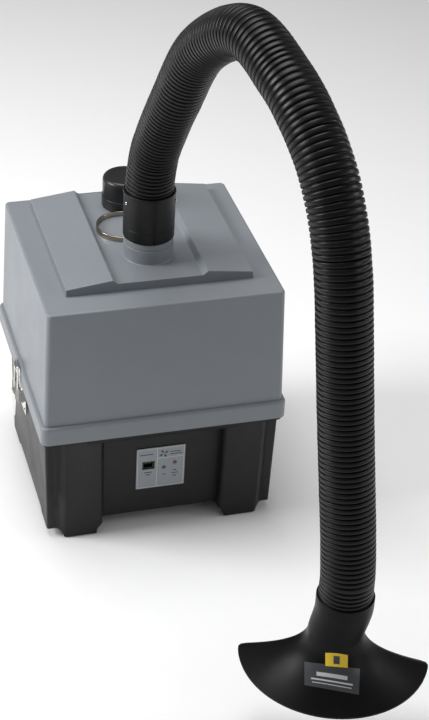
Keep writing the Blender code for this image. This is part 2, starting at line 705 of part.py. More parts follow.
# ---------------------------------------------------------------- latches
def span(name, side, x, y, z, mat=None, collection=CUTTERS):
    """A box given by its distances from the middle plane, on one side of it."""
    xs = sorted((side * x[0], side * x[1]))
    return box(name, (xs[0], y[0], z[0]), (xs[1], y[1], z[1]), mat, collection)


def latch_plate(side, tag):
    """Plate on the tub's side with two ears that carry the lever's pin."""
    wall = TUB_X / 2 + GAP
    px, pz = LATCH_PIVOT
    wide = LATCH_HALF + 0.002
    plate = span("latch_plate_" + tag, side, (wall, wall + 0.0012), (-wide, wide), (0.108, 0.1495),
                 plated_steel(), PART)
    for end in (-1, 1):
        ys = sorted((end * wide, end * (wide - 0.0012)))
        join(plate, span("latch_ear", side, (wall + 0.0006, px + 0.0035), ys, (0.130, 0.1485)))
        cut(plate, cutter_rod("ear_hole", (side * px, ys[0] - 0.01, pz), (side * px, ys[1] + 0.01, pz),
                              0.0018, 16))


def keeper(side, tag):
    """Hook on the hood's flange: a plate with a shelf for the bail's bar and a low lip."""
    face = FLANGE_X / 2 + GAP
    floor = KEEPER_FLOOR_Z
    hook = span("keeper_" + tag, side, (face, face + 0.0012), (-0.013, 0.013), (0.1590, floor + 0.0004),
                plated_steel(), PART)
    strip = [(face + 0.0004, floor - 0.0012), (face + 0.0062, floor - 0.0012), (face + 0.0062, floor + 0.0006),
             (face + 0.0052, floor + 0.0006), (face + 0.0052, floor), (face + 0.0004, floor)]
    stand = Matrix.Rotation(math.radians(90), 4, "X")
    points = [(side * x, z) for x, z in strip]
    join(hook, outline("keeper_shelf", points, 2 * (LATCH_HALF - 0.0058), None, stand, CUTTERS))


def latch_lever(side, tag):
    """Tapering lever that hangs from its pin, with two cheeks that hold the bail."""
    px, pz = LATCH_PIVOT
    half, tip = LATCH_HALF, LEVER_TIP_Z
    top = LEVER_FACE_Z
    face = [(-half, top), (half, top), (half, top - 0.006), (0.0060, tip + 0.002),
            (0.0040, tip), (-0.0040, tip), (-0.0060, tip + 0.002), (-half, top - 0.006)]
    stand = Matrix(((0, 0, 1, side * (px + LEVER_FACE)), (1, 0, 0, 0), (0, 1, 0, 0), (0, 0, 0, 1)))
    lever = outline("latch_lever_" + tag, face, 0.0012, plated_steel(), stand)
    for end in (-1, 1):
        ys = sorted((end * half, end * (half - 0.0012)))
        join(lever, span("lever_cheek", side, (px - 0.0030, px + LEVER_FACE), ys, (top - 0.004, pz + 0.002)))
    join(lever, cutter_rod("lever_pin", (side * px, -half - 0.0022, pz), (side * px, half + 0.0022, pz),
                           0.0015, 12))
    bx, bz = BAIL_PIVOT
    cut(lever, cutter_rod("bail_hole", (side * bx, -half - 0.01, bz), (side * bx, half + 0.01, bz), 0.0015, 16))


def latch_bail(side, tag):
    """Wire bail from the lever's cheeks up to a cross bar that rests in the keeper."""
    bx, bz = BAIL_PIVOT
    bar_x = FLANGE_X / 2 + GAP + 0.0034
    bar_z = KEEPER_FLOOR_Z + GAP + WIRE_R
    half = LATCH_HALF
    left = [(bx, -half + 0.0002, bz), (bx, -half + 0.0032, bz), (bx, -half + 0.0040, bz + 0.0012),
            (bx - 0.0002, -half + 0.0040, bz + 0.006), (bar_x, -half + 0.0040, bar_z - 0.003),
            (bar_x, -half + 0.0048, bar_z - 0.0008), (bar_x, -half + 0.0065, bar_z)]
    points = left + [(x, -y, z) for x, y, z in reversed(left)]
    tube_along("latch_bail_" + tag, [(side * x, y, z) for x, y, z in points], WIRE_R, plated_steel(),
               resolution=2)


def latches():
    for side, tag in ((-1, "left"), (1, "right")):
        latch_plate(side, tag)
        keeper(side, tag)
        latch_lever(side, tag)
        latch_bail(side, tag)


# ---------------------------------------------------------------- inside the hood: filter cassette
CASSETTE_X = 0.132
CASSETTE_Y = 0.126
CASSETTE_Z = (0.1620, 0.2900)
CASSETTE_WALL = 0.003
DECK_Z = (0.1560, 0.1590)


def frame_ring(name, half_x, half_y, z, width, mat, corner=0.004):
    """A flat rectangular ring of even width."""
    ring = box(name, (-half_x, -half_y, z[0]), (half_x, half_y, z[1]), mat, corner=corner)
    cut(ring, cutter_box(name + "_window", (-half_x + width, -half_y + width, z[0] - 0.01),
                         (half_x - width, half_y - width, z[1] + 0.01), corner=max(corner - width, 0.001)))
    return ring


def filter_cassette():
    black = black_plastic()
    frame_ring("lid_gasket", 0.1562, 0.1512, (LIP_Z[1] + GAP, SEAL_LEDGE_Z - GAP), 0.0050, rubber(), 0.007)
    deck = box("deck_plate", (-0.1474, -0.1424, DECK_Z[0]), (0.1474, 0.1424, DECK_Z[1]), black, corner=0.004)
    cut(deck, cutter_rod("deck_hole", (0, BLOWER_Y, 0.10), (0, BLOWER_Y, 0.20), 0.050, 48))
    frame_ring("filter_seal", CASSETTE_X, CASSETTE_Y, (DECK_Z[1] + GAP, CASSETTE_Z[0] - GAP), 0.014, rubber())
    frame = box("cassette_frame", (-CASSETTE_X, -CASSETTE_Y, CASSETTE_Z[0]), (CASSETTE_X, CASSETTE_Y, CASSETTE_Z[1]),
                sheet_steel(), corner=0.004)
    inner_x, inner_y = CASSETTE_X - CASSETTE_WALL, CASSETTE_Y - CASSETTE_WALL
    cut(frame, cutter_box("cassette_room", (-inner_x, -inner_y, CASSETTE_Z[0] + 0.001), (inner_x, inner_y, 0.35)),
        cutter_box("cassette_outlet", (-inner_x + 0.010, -inner_y + 0.010, 0.10), (inner_x - 0.010, inner_y - 0.010, 0.30)))
    fit_x, fit_y = inner_x - 0.0005, inner_y - 0.0005
    box("carbon_bed", (-fit_x, -fit_y, 0.1634), (fit_x, fit_y, 0.2120), material("carbon", (0.02, 0.02, 0.02), 0.9))
    grid = box("carbon_grid", (-fit_x, -fit_y, 0.2124), (fit_x, fit_y, 0.2139), sheet_steel())
    for i in range(9):
        x = -0.112 + 0.028 * i
        cut(grid, cutter_box("grid_slot", (x - 0.009, -fit_y + 0.012, 0.20), (x + 0.009, fit_y - 0.012, 0.22)))
    pleats(fit_x, fit_y)
    box("prefilter_mat", (-0.1310, -0.1250, 0.2903), (0.1310, 0.1250, 0.3080),
        material("filter_fleece", (0.82, 0.83, 0.80), 0.95), corner=0.008, edge=0.004)


def pleats(fit_x, fit_y):
    """The particle filter's pack: one zigzag sheet of even thickness."""
    folds, low, high, drop = 26, 0.2160, 0.2860, 0.0083
    pitch = 2 * fit_x / folds
    upper = [(-fit_x + pitch * i, high if i % 2 else low + drop) for i in range(folds + 1)]
    lower = [(x, z - drop) for x, z in upper]
    points = upper + list(reversed(lower))
    stand = Matrix.Rotation(math.radians(90), 4, "X")
    outline("hepa_pleats", points, 2 * fit_y, material("glass_paper", (0.88, 0.88, 0.86), 0.9), stand)


# ---------------------------------------------------------------- inside the tub: blower
def blower():
    centre = (0, BLOWER_Y, 0)
    low, high = DRUM_Z
    steel, cast = sheet_steel(), material("cast_alloy", (0.62, 0.62, 0.61), 0.45, 1.0)
    wall = 0.0025
    drum = lathe("blower_drum", [(DRUM_R, high), (DRUM_R, low), (0.012, low), (0.012, low + wall),
                                 (DRUM_R - wall, low + wall), (DRUM_R - wall, high)], cast, centre=centre)
    cut(drum, cutter_box("drum_outlet", (-0.1050, BLOWER_Y + 0.004, 0.0770), (-0.0450, 0.0900, 0.1230)))
    lathe("blower_cover", [(DRUM_R, high + 0.0027), (DRUM_R, high + GAP), (0.048, high + GAP),
                           (0.048, high + 0.0027)], steel, centre=centre)
    duct = box("exhaust_duct", (-0.1080, BLOWER_Y + 0.002, 0.0740), (-0.0420, TUB_BACK - TUB_WALL - GAP, 0.1260),
               black_plastic())
    cut(duct, cutter_box("duct_bore", (-0.1050, -0.10, 0.0770), (-0.0450, 0.20, 0.1230)),
        cutter_rod("drum_clearance", (0, BLOWER_Y, 0.0), (0, BLOWER_Y, 0.2), DRUM_R + GAP, 48))
    rotor(centre)
    motor = lathe("motor", [(0, 0.0657), (0.038, 0.0657), (0.040, 0.0637), (0.040, 0.0300), (0.038, 0.0289),
                            (0, 0.0289)], cast, centre=centre, steps=40)
    cut(motor, cutter_rod("motor_bore", (0, BLOWER_Y, 0.0500), (0, BLOWER_Y, 0.08), 0.006, 24))
    bracket = box("motor_bracket", (-0.060, BLOWER_Y - 0.055, 0.0255), (0.060, BLOWER_Y + 0.055, 0.0285), steel,
                  corner=0.008)
    cut(bracket, cutter_rod("bracket_hole", (0, BLOWER_Y, 0), (0, BLOWER_Y, 0.05), 0.014, 24))
    for tag, x, y in (("front_left", -1, -1), ("front_right", 1, -1), ("back_left", -1, 1), ("back_right", 1, 1)):
        rod("damper_" + tag, (0.048 * x, BLOWER_Y + 0.043 * y, TUB_FLOOR + TUB_WALL + GAP),
            (0.048 * x, BLOWER_Y + 0.043 * y, 0.0252), 0.008, rubber(), sides=20)


def rotor(centre):
    """Impeller with straight backward-leaning vanes between a back plate and a shroud."""
    alloy = material("impeller_alloy", (0.7, 0.71, 0.72), 0.35, 1.0)
    wheel = lathe("impeller", [(0.082, 0.0760), (0.082, 0.0740), (0.0043, 0.0740), (0.0043, 0.0900),
                               (0.014, 0.0900), (0.020, 0.0760)][::-1], alloy, centre=centre)
    bm = bmesh.new()
    vanes = 14
    for i in range(vanes):
        made = bmesh.ops.create_cube(bm, size=1.0)["verts"]
        shape = (Matrix.Translation(Vector(centre) + Vector((0, 0, 0.1082))) @ Matrix.Rotation(2 * math.pi * i / vanes, 4, "Z")
                 @ Matrix.Translation((0.066, 0, 0)) @ Matrix.Rotation(math.radians(-35), 4, "Z")
                 @ Matrix.Diagonal((0.030, 0.0012, 0.0654, 1)))
        bmesh.ops.transform(bm, matrix=shape, verts=made)
    join(wheel, new_object("vanes", mesh_from(bm, "vanes"), None, CUTTERS))
    shroud = lathe("shroud", [(0.082, 0.1422), (0.082, 0.1404), (0.050, 0.1404), (0.050, 0.1422)], None, CUTTERS, centre)
    join(wheel, shroud)
    rod("motor_shaft", (0, BLOWER_Y, 0.0520), (0, BLOWER_Y, 0.0930), 0.0040, plated_steel(), sides=24)


def tub_fittings():
    box("power_supply", (0.1010, -0.0900, 0.0200), (0.1430, 0.0100, 0.0750), sheet_steel(), corner=0.002)
    box("silencer_foam", (-0.1440, -0.1000, 0.0200), (-0.1120, 0.0800, 0.1200),
        material("foam", (0.05, 0.05, 0.055), 0.95), corner=0.004)
    board = box("control_board", (-0.0500, -0.1186, 0.0450), (0.0500, -0.1170, 0.1100),
                material("circuit_board", (0.02, 0.16, 0.07), 0.5))
    join(board, cutter_box("board_terminal", (0.0250, -0.1172, 0.0500), (0.0460, -0.1152, 0.0620)),
         cutter_box("board_chip", (-0.0400, -0.1172, 0.0900), (-0.0250, -0.1155, 0.1000)))
    back_fittings()


def back_fittings():
    wall = TUB_BACK + GAP
    black = black_plastic()
    grille = box("exhaust_grille", (-0.1180, wall, 0.0660), (-0.0320, wall + 0.0030, 0.1340), black, corner=0.0)
    for i in range(8):
        z = 0.0740 + 0.0074 * i
        cut(grille, cutter_box("grille_slot", (-0.1110, wall - 0.01, z - 0.0022), (-0.0390, wall + 0.02, z + 0.0022)))

    inlet = box("power_inlet", (0.0590, wall, 0.0790), (0.0990, wall + 0.0022, 0.1110), black)
    join(inlet, cutter_box("inlet_body", (0.0653, 0.0780, 0.0843), (0.0927, wall + 0.001, 0.1057)))
    cut(inlet, cutter_box("inlet_mouth", (0.0675, 0.0830, 0.0865), (0.0905, wall + 0.01, 0.1035)))
    for x in (0.0720, 0.0790, 0.0860):
        join(inlet, cutter_box("inlet_pin", (x - 0.0010, 0.0825, 0.0930), (x + 0.0010, 0.0945, 0.0970)))

    frame = box("switch_frame", (0.0308, wall, 0.0795), (0.0552, wall + 0.0018, 0.1105), black)
    join(frame, cutter_box("switch_body", (0.0333, 0.0800, 0.0823), (0.0527, wall + 0.001, 0.1077)))
    cut(frame, cutter_box("switch_mouth", (0.0355, 0.0850, 0.0845), (0.0505, wall + 0.01, 0.1055)))
    rocker()

    holder = box("fuse_holder", (0.0650, wall, 0.0560), (0.0930, wall + 0.0016, 0.0775), black)
    join(holder, cutter_box("fuse_sleeve", (0.0683, 0.0640, 0.0603), (0.0897, wall + 0.001, 0.0737)))
    cut(holder, cutter_box("fuse_mouth", (0.0700, 0.0660, 0.0620), (0.0880, wall + 0.01, 0.0720)))
    drawer = box("fuse_drawer", (0.0704, 0.0670, 0.0624), (0.0876, wall + 0.0030, 0.0716), black)
    cut(drawer, cutter_box("fuse_tray", (0.0720, 0.0690, 0.0640), (0.0860, 0.0940, 0.0730)))


ROCKER_PIVOT = Vector((0.0430, 0.0965, 0.0950))
ROCKER_REST = math.radians(-7.0)


def rocker():
    """Rocker of the mains switch, shown switched off: a shallow V across its own pivot."""
    half_z, front, rear = 0.0092, 0.0052, -0.0035
    points = [(rear, -half_z + 0.002), (rear, half_z - 0.002), (front - 0.0002, half_z), (front - 0.0016, 0.0),
              (front - 0.0002, -half_z)]
    stand = Matrix(((0, 0, 1, 0), (1, 0, 0, 0), (0, 1, 0, 0), (0, 0, 0, 1)))
    obj = outline("switch_rocker", points, 0.0140, material("rocker_black", (0.02, 0.02, 0.02), 0.3), stand)
    obj.location = ROCKER_PIVOT
    obj.rotation_euler = (ROCKER_REST, 0, 0)


# ---------------------------------------------------------------- assembly
def smooth_round_pieces():
    for obj in PART.objects:
        if obj.type == "MESH":
            obj.data.shade_smooth()
            obj.data.set_sharp_from_angle(angle=math.radians(35))


def hang_on_origin():
    origin = bpy.data.objects.new("extractor_origin", None)
    origin.location = ORIGIN_SHIFT
    PART.objects.link(origin)
    for collection in (PART, CUTTERS):
        for obj in collection.objects:
            if obj is not origin:
                obj.parent = origin


def main():
    clear_scene()
    hood()
    port_cap()
    trim_ring()
    hose_cuff()
    cuff_screws()
    hose()
    nozzle()
    base_tub()
    front_panel()
    rubber_feet()
    latches()
    filter_cassette()
    blower()
    tub_fittings()
    smooth_round_pieces()
    hang_on_origin()


main()
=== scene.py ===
"""Looks for the solder fume extractor: fine shapes, materials, light and camera."""
import json
import math

import bmesh
import bpy
from mathutils import Matrix, Vector, noise

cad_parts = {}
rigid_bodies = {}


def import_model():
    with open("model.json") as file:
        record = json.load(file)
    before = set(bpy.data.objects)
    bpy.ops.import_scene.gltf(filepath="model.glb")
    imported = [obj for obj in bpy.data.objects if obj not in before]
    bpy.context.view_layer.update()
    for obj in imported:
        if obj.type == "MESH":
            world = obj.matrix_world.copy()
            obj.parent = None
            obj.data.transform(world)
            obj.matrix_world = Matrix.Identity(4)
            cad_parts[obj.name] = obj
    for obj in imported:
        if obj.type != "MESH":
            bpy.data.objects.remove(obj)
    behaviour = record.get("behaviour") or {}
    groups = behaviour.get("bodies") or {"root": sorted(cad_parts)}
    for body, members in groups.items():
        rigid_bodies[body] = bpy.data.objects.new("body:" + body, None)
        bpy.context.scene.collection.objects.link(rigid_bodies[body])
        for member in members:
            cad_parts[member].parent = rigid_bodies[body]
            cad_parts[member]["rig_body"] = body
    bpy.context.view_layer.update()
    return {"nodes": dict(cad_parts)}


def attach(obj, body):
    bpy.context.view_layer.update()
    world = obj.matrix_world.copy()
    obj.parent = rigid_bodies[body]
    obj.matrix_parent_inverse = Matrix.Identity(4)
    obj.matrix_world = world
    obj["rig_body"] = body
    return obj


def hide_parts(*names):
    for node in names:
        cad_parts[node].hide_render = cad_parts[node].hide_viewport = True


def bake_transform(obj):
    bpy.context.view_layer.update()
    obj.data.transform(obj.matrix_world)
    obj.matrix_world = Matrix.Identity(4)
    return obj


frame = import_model()
NODES = frame["nodes"]
BOX = "extractor_box"

# ---------------------------------------------------------------- sizes, metres
SHIFT = Vector((-0.01715, 0.23812, 0.0))     # from the box's middle to the frame's origin
GAP = 0.0003
RIM_Z = 0.341
HOOD_X, HOOD_Y = 0.300, 0.290
HOOD_DRAFT = 0.0052
FLANGE_BOTTOM, FLANGE_TOP = 0.156, 0.181
FLANGE_X, FLANGE_Y = 0.319, 0.309
HOOD_WALL = 0.003
SEAL_LEDGE_Z = 0.164
PAD_HALF_X = 0.119
PAD_FRONT, PAD_BACK = -0.105, 0.128
PAD_OUTER_H, PAD_INNER_H = 0.0095, 0.0170
PAD_INNER_X, CHANNEL_HALF_X, CHANNEL_H = 0.0600, 0.0545, 0.0100
PORT_Y, CAPPED_Y = -0.037, 0.093
COLLAR_R, SPIGOT_R, BORE_R = 0.0317, 0.0298, 0.0265
CUFF_R, CUFF_BOTTOM, CUFF_TOP = 0.0323, 0.3795, 0.4430
HOSE_R, HOSE_BORE, RIB_DEPTH = 0.0306, 0.0266, 0.0021
ARM_AZIMUTH = math.radians(11.2)
HOSE_ROUTE = [
    (0.000, 0.412), (0.000, 0.446), (0.006, 0.482), (0.019, 0.516), (0.061, 0.589), (0.125, 0.682),
    (0.225, 0.743), (0.313, 0.729), (0.369, 0.703), (0.410, 0.670), (0.439, 0.627), (0.458, 0.575),
    (0.470, 0.518), (0.481, 0.460), (0.493, 0.399), (0.506, 0.337), (0.518, 0.279), (0.5255, 0.228),
    (0.5255, 0.192),
]
NOZZLE_TURN = math.radians(-20.9)
NOZZLE_R, NOZZLE_BACK, NOZZLE_TIP = 0.1093, 0.0331, 0.0128
NOZZLE_LEAN = Vector((-0.0064, -0.0024, 0.0))
NOZZLE_RIM_Z, NOZZLE_LIP, NOZZLE_WALL = 0.0899, 0.003, 0.0024
MOUTH_R, MOUTH_Z, NECK_R, NECK_Z = 0.0326, 0.204, 0.0317, 0.155
SOCKET_R, SOCKET_FLOOR = 0.0311, 0.1917
RECESS_Y, TUB_TOP, TUB_BOTTOM, TUB_TAPER = -0.135, 0.1510, 0.009, 0.980
PANEL_Z, PANEL_HALF = 0.0865, 0.0323
SOCKET_X, SOCKET_Z = (-0.0245, -0.0080), (0.0850, 0.0975)
STATUS_AT, ALARM_AT = (0.0045, 0.0853), (0.0190, 0.0915)
LAMP_WINDOW_R = 0.0028
CAPPED_BORE_R, CAPPED_COLLAR_R = 0.0240, 0.0270
CAP_R, CAP_HEIGHT, CAP_CROWN = 0.0293, 0.042, 0.0060
RING_AT, RING_OUTER, RING_INNER, RING_HEIGHT = (-0.0170, 0.0287, 0), 0.0348, 0.0324, 0.0065
CUFF_SLIT_DEG = -92.6
CUFF_SCREWS = (("right", -22.0), ("left", 196.0))
CUFF_SCREW_Z = 0.4300
BEND_HEIGHTS_UP = (0.504, 0.594)                    # the lift bend, on the rising limb
BEND_HEIGHTS_DOWN = (0.694, 0.594, 0.334, 0.259)    # the reach and tilt bends, on the falling limb
NECK_SCREW_DEG, NECK_SCREW_Z = 40.0, 0.1965
TUB_SIDE_X = 0.153


# ---------------------------------------------------------------- materials
def nodes_of(name):
    mat = bpy.data.materials.new(name)
    mat.use_nodes = True
    tree = mat.node_tree
    return mat, tree, tree.nodes["Principled BSDF"]


def noise_node(tree, scale, detail, roughness):
    coords = tree.nodes.new("ShaderNodeTexCoord")
    tex = tree.nodes.new("ShaderNodeTexNoise")
    tex.inputs["Scale"].default_value = scale
    tex.inputs["Detail"].default_value = detail
    tex.inputs["Roughness"].default_value = roughness
    tree.links.new(coords.outputs["Object"], tex.inputs["Vector"])
    return tex


def ranged(tree, source, low, high, start=0.3, end=0.7):
    node = tree.nodes.new("ShaderNodeMapRange")
    node.inputs["From Min"].default_value = start
    node.inputs["From Max"].default_value = end
    node.inputs["To Min"].default_value = low
    node.inputs["To Max"].default_value = high
    tree.links.new(source, node.inputs["Value"])
    return node.outputs["Result"]


def surface(name, colour, rough, metallic=0.0, grain=900.0, bump=0.10, depth=0.00005, mottle=0.06,
            wear=0.08, coat=0.0, specular=0.5):
    """A procedural surface: fine grain in the bump, broad patches in roughness and colour."""
    mat, tree, bsdf = nodes_of(name)
    bsdf.inputs["Metallic"].default_value = metallic
    bsdf.inputs["Coat Weight"].default_value = coat
    bsdf.inputs["Specular IOR Level"].default_value = specular
    patches = noise_node(tree, 14.0, 5.0, 0.6)
    tree.links.new(ranged(tree, patches.outputs["Fac"], max(rough - wear, 0.02), min(rough + wear, 1.0)),
                   bsdf.inputs["Roughness"])
    mix = tree.nodes.new("ShaderNodeMix")
    mix.data_type = "RGBA"
    dark = [c * (1 - mottle) for c in colour]
    light = [min(c * (1 + mottle) + 0.004 * mottle, 1.0) for c in colour]
    mix.inputs["A"].default_value = (*dark, 1)
    mix.inputs["B"].default_value = (*light, 1)
    cloud = noise_node(tree, 37.0, 6.0, 0.65)
    tree.links.new(ranged(tree, cloud.outputs["Fac"], 0.0, 1.0), mix.inputs["Factor"])
    tree.links.new(mix.outputs["Result"], bsdf.inputs["Base Color"])
    fine = noise_node(tree, grain, 3.0, 0.6)
    bumper = tree.nodes.new("ShaderNodeBump")
    bumper.inputs["Strength"].default_value = bump
    bumper.inputs["Distance"].default_value = depth
    tree.links.new(fine.outputs["Fac"], bumper.inputs["Height"])
    tree.links.new(bumper.outputs["Normal"], bsdf.inputs["Normal"])
    return mat


M = {
    "grey": surface("hood_grey", (0.200, 0.216, 0.236), 0.42, grain=1500, bump=0.30, depth=0.00008,
                    mottle=0.02, wear=0.05),
    "tub": surface("tub_black", (0.0080, 0.0083, 0.0090), 0.42, grain=1400, bump=0.35, depth=0.00010,
                   mottle=0.12, wear=0.07, specular=0.26),
    "cap": surface("cap_black", (0.011, 0.011, 0.012), 0.32, grain=1300, bump=0.15, mottle=0.1, wear=0.06,
                   specular=0.40),
    "hose": surface("hose_black", (0.0030, 0.0030, 0.0033), 0.36, grain=600, bump=0.25, depth=0.00012,
                    mottle=0.15, wear=0.09, specular=0.24),
    "nozzle": surface("nozzle_black", (0.0030, 0.0030, 0.0033), 0.40, grain=1200, bump=0.25, depth=0.00008,
                      mottle=0.12, wear=0.08, specular=0.13),
    "rubber": surface("rubber_black", (0.018, 0.018, 0.018), 0.78, grain=800, bump=0.5, depth=0.0001,
                      mottle=0.2),
    "steel": surface("plated_steel", (0.72, 0.71, 0.68), 0.20, metallic=1.0, grain=500, bump=0.10,
                     mottle=0.05, wear=0.07),
    "ring": surface("ring_polish", (0.40, 0.35, 0.28), 0.16, metallic=1.0, grain=500, bump=0.05,
                    mottle=0.05, wear=0.04),
    "sheet": surface("zinc_sheet", (0.52, 0.53, 0.54), 0.38, metallic=1.0, grain=300, bump=0.15,
                     mottle=0.15, wear=0.1),
    "panel": surface("panel_silver", (0.26, 0.28, 0.30), 0.42, metallic=0.2, grain=900, bump=0.10,
                     mottle=0.03, wear=0.04),
    "panel_edge": surface("panel_border", (0.52, 0.53, 0.54), 0.40, metallic=0.2, grain=900, bump=0.05,
                          mottle=0.02),
    "ink": surface("panel_ink", (0.030, 0.031, 0.035), 0.55, grain=900, bump=0.05),
    "contact": surface("gilt_contact", (0.82, 0.60, 0.28), 0.25, metallic=1.0, grain=900, bump=0.05),
    "green": surface("lamp_green", (0.02, 0.10, 0.035), 0.12, grain=400, bump=0.02, coat=0.6),
    "red": surface("lamp_red", (0.12, 0.02, 0.015), 0.12, grain=400, bump=0.02, coat=0.6),
    "yellow": surface("sticker_yellow", (0.75, 0.52, 0.03), 0.45, grain=700, bump=0.08, mottle=0.04),
    "sticker": surface("sticker_dark", (0.045, 0.047, 0.052), 0.30, grain=700, bump=0.05, mottle=0.1),
    "cast": surface("cast_alloy", (0.60, 0.60, 0.59), 0.50, metallic=1.0, grain=260, bump=0.5,
                    depth=0.0002),
    "carbon": surface("carbon_granules", (0.015, 0.015, 0.016), 0.75, grain=420, bump=1.0, depth=0.0012,
                      mottle=0.5),
    "fleece": surface("filter_fleece", (0.80, 0.81, 0.78), 0.95, grain=240, bump=0.9, depth=0.0009,
                      mottle=0.06),
    "paper": surface("glass_paper", (0.86, 0.86, 0.83), 0.9, grain=500, bump=0.5, depth=0.0003,
                     mottle=0.04),
    "foam": surface("acoustic_foam", (0.045, 0.045, 0.05), 0.95, grain=330, bump=1.0, depth=0.001,
                    mottle=0.4),
    "board": surface("circuit_board", (0.015, 0.13, 0.05), 0.4, grain=300, bump=0.1, mottle=0.2),
    "rocker": surface("rocker_gloss", (0.012, 0.012, 0.012), 0.18, grain=700, bump=0.03, mottle=0.1,
                      wear=0.04),
    "floor": surface("bench_pale", (0.93, 0.93, 0.93), 0.62, grain=90, bump=0.02, mottle=0.006, wear=0.03),
}


# ---------------------------------------------------------------- shape helpers
def finish_piece(name, bm, mat, body, replaces=(), smooth=35.0):
    """bm is in the box's own frame; the piece goes to the row frame and rides its body."""
    bmesh.ops.recalc_face_normals(bm, faces=bm.faces)
    bmesh.ops.translate(bm, vec=SHIFT, verts=bm.verts)
    mesh = bpy.data.meshes.new(name)
    bm.to_mesh(mesh)
    bm.free()
    return place_piece(name, mesh, mat, body, replaces, smooth)


def place_piece(name, mesh, mat, body, replaces=(), smooth=35.0):
    obj = bpy.data.objects.new(name, mesh)
    bpy.context.scene.collection.objects.link(obj)
    mesh.materials.clear()
    mesh.materials.append(mat)
    mesh.shade_smooth()
    mesh.set_sharp_from_angle(angle=math.radians(smooth))
    weigh = obj.modifiers.new("weigh", "WEIGHTED_NORMAL")
    weigh.keep_sharp = True
    if body:
        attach(obj, body)
    if replaces:
        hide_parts(*replaces)
    return obj


def box_bm(low, high, corner=0.0, edge=0.0, taper=1.0, corner_steps=8, edge_steps=6):
    """A box with rounded upright corners and a rounded top edge; taper scales its bottom."""
    low, high = Vector(low), Vector(high)
    size, middle = high - low, (high + low) / 2
    bm = bmesh.new()
    bmesh.ops.create_cube(bm, size=1.0)
    for v in bm.verts:
        v.co = Vector((v.co.x * size.x, v.co.y * size.y, v.co.z * size.z)) + middle
        if v.co.z < middle.z:
            v.co.x = middle.x + (v.co.x - middle.x) * taper
            v.co.y = middle.y + (v.co.y - middle.y) * taper
    if corner > 0:
        upright = [e for e in bm.edges if abs(e.verts[0].co.z - e.verts[1].co.z) > size.z / 2]
        bmesh.ops.bevel(bm, geom=upright, offset=corner, segments=corner_steps, profile=0.5, affect="EDGES")
    if edge > 0:
        rims = [e for e in bm.edges if min(v.co.z for v in e.verts) > high.z - 1e-6]
        bmesh.ops.bevel(bm, geom=rims, offset=edge, segments=edge_steps, profile=0.5, affect="EDGES")
    return bm


def prism_bm(points, depth, place, edge=0.0, steps=3):
    """A flat outline given a thickness, centred on its plane, with every edge rounded."""
    bm = bmesh.new()
    low = [bm.verts.new((x, y, -depth / 2)) for x, y in points]
    high = [bm.verts.new((x, y, depth / 2)) for x, y in points]
    bm.faces.new(list(reversed(low)))
    bm.faces.new(high)
    count = len(points)
    for i in range(count):
        j = (i + 1) % count
        bm.faces.new((low[i], low[j], high[j], high[i]))
    if edge > 0:
        bmesh.ops.bevel(bm, geom=list(bm.edges), offset=edge, segments=steps, profile=0.5, affect="EDGES")
    bmesh.ops.transform(bm, matrix=place, verts=bm.verts)
    bmesh.ops.recalc_face_normals(bm, faces=bm.faces)
    return bm


def lathe_bm(profile, centre=(0, 0, 0), steps=96):
    """A turned solid from a closed profile of (radius, height) points."""
    bm = bmesh.new()
    centre = Vector(centre)
    rings = []
    for r, z in profile:
        if r < 1e-7:
            rings.append([bm.verts.new(centre + Vector((0, 0, z)))] * steps)
        else:
            rings.append([bm.verts.new(centre + Vector((r * math.cos(2 * math.pi * i / steps),
                                                        r * math.sin(2 * math.pi * i / steps), z)))
                          for i in range(steps)])
    pairs = list(zip(rings, rings[1:]))
    if profile[0][0] > 1e-7:
        pairs.append((rings[-1], rings[0]))
    for a, b in pairs:
        for i in range(steps):
            j = (i + 1) % steps
            corners = [a[i], a[j], b[j], b[i]]
            unique = []
            for v in corners:
                if v not in unique:
                    unique.append(v)
            if len(unique) > 2:
                bm.faces.new(unique)
    bmesh.ops.recalc_face_normals(bm, faces=bm.faces)
    return bm


def rod_bm(start, end, radius, sides=32, edge=0.0):
    start, end = Vector(start), Vector(end)
    bm = bmesh.new()
    bmesh.ops.create_cone(bm, cap_ends=True, segments=sides, radius1=radius, radius2=radius,
                          depth=(end - start).length)
    if edge > 0:
        caps = [e for e in bm.edges if abs(e.verts[0].co.z - e.verts[1].co.z) < 1e-9]
        bmesh.ops.bevel(bm, geom=caps, offset=edge, segments=3, profile=0.5, affect="EDGES")
    turn = (end - start).to_track_quat("Z", "Y").to_matrix().to_4x4()
    bmesh.ops.transform(bm, matrix=Matrix.Translation((start + end) / 2) @ turn, verts=bm.verts)
    return bm


def solid(bm):
    """A bare object for a boolean, from bm."""
    mesh = bpy.data.meshes.new("tool")
    bm.to_mesh(mesh)
    bm.free()
    obj = bpy.data.objects.new("tool", mesh)
    bpy.context.scene.collection.objects.link(obj)
    return obj


def carve(base, steps):
    """Applies a list of (operation, bmesh) to a bmesh and gives back the result."""
    body = solid(base)
    tools = []
    for operation, bm in steps:
        tool = solid(bm)
        mod = body.modifiers.new("step", "BOOLEAN")
        mod.operation = operation
        mod.solver = "EXACT"
        mod.object = tool
        tools.append(tool)
    bpy.context.view_layer.update()
    mesh = bpy.data.meshes.new_from_object(body.evaluated_get(bpy.context.evaluated_depsgraph_get()))
    out = bmesh.new()
    out.from_mesh(mesh)
    for obj in [body] + tools:
        bpy.data.objects.remove(obj)
    return out


def arc(cx, cy, radius, start_deg, end_deg, count):
    step = (end_deg - start_deg) / count
    return [(cx + radius * math.cos(math.radians(start_deg + step * i)),
             cy + radius * math.sin(math.radians(start_deg + step * i))) for i in range(count + 1)]


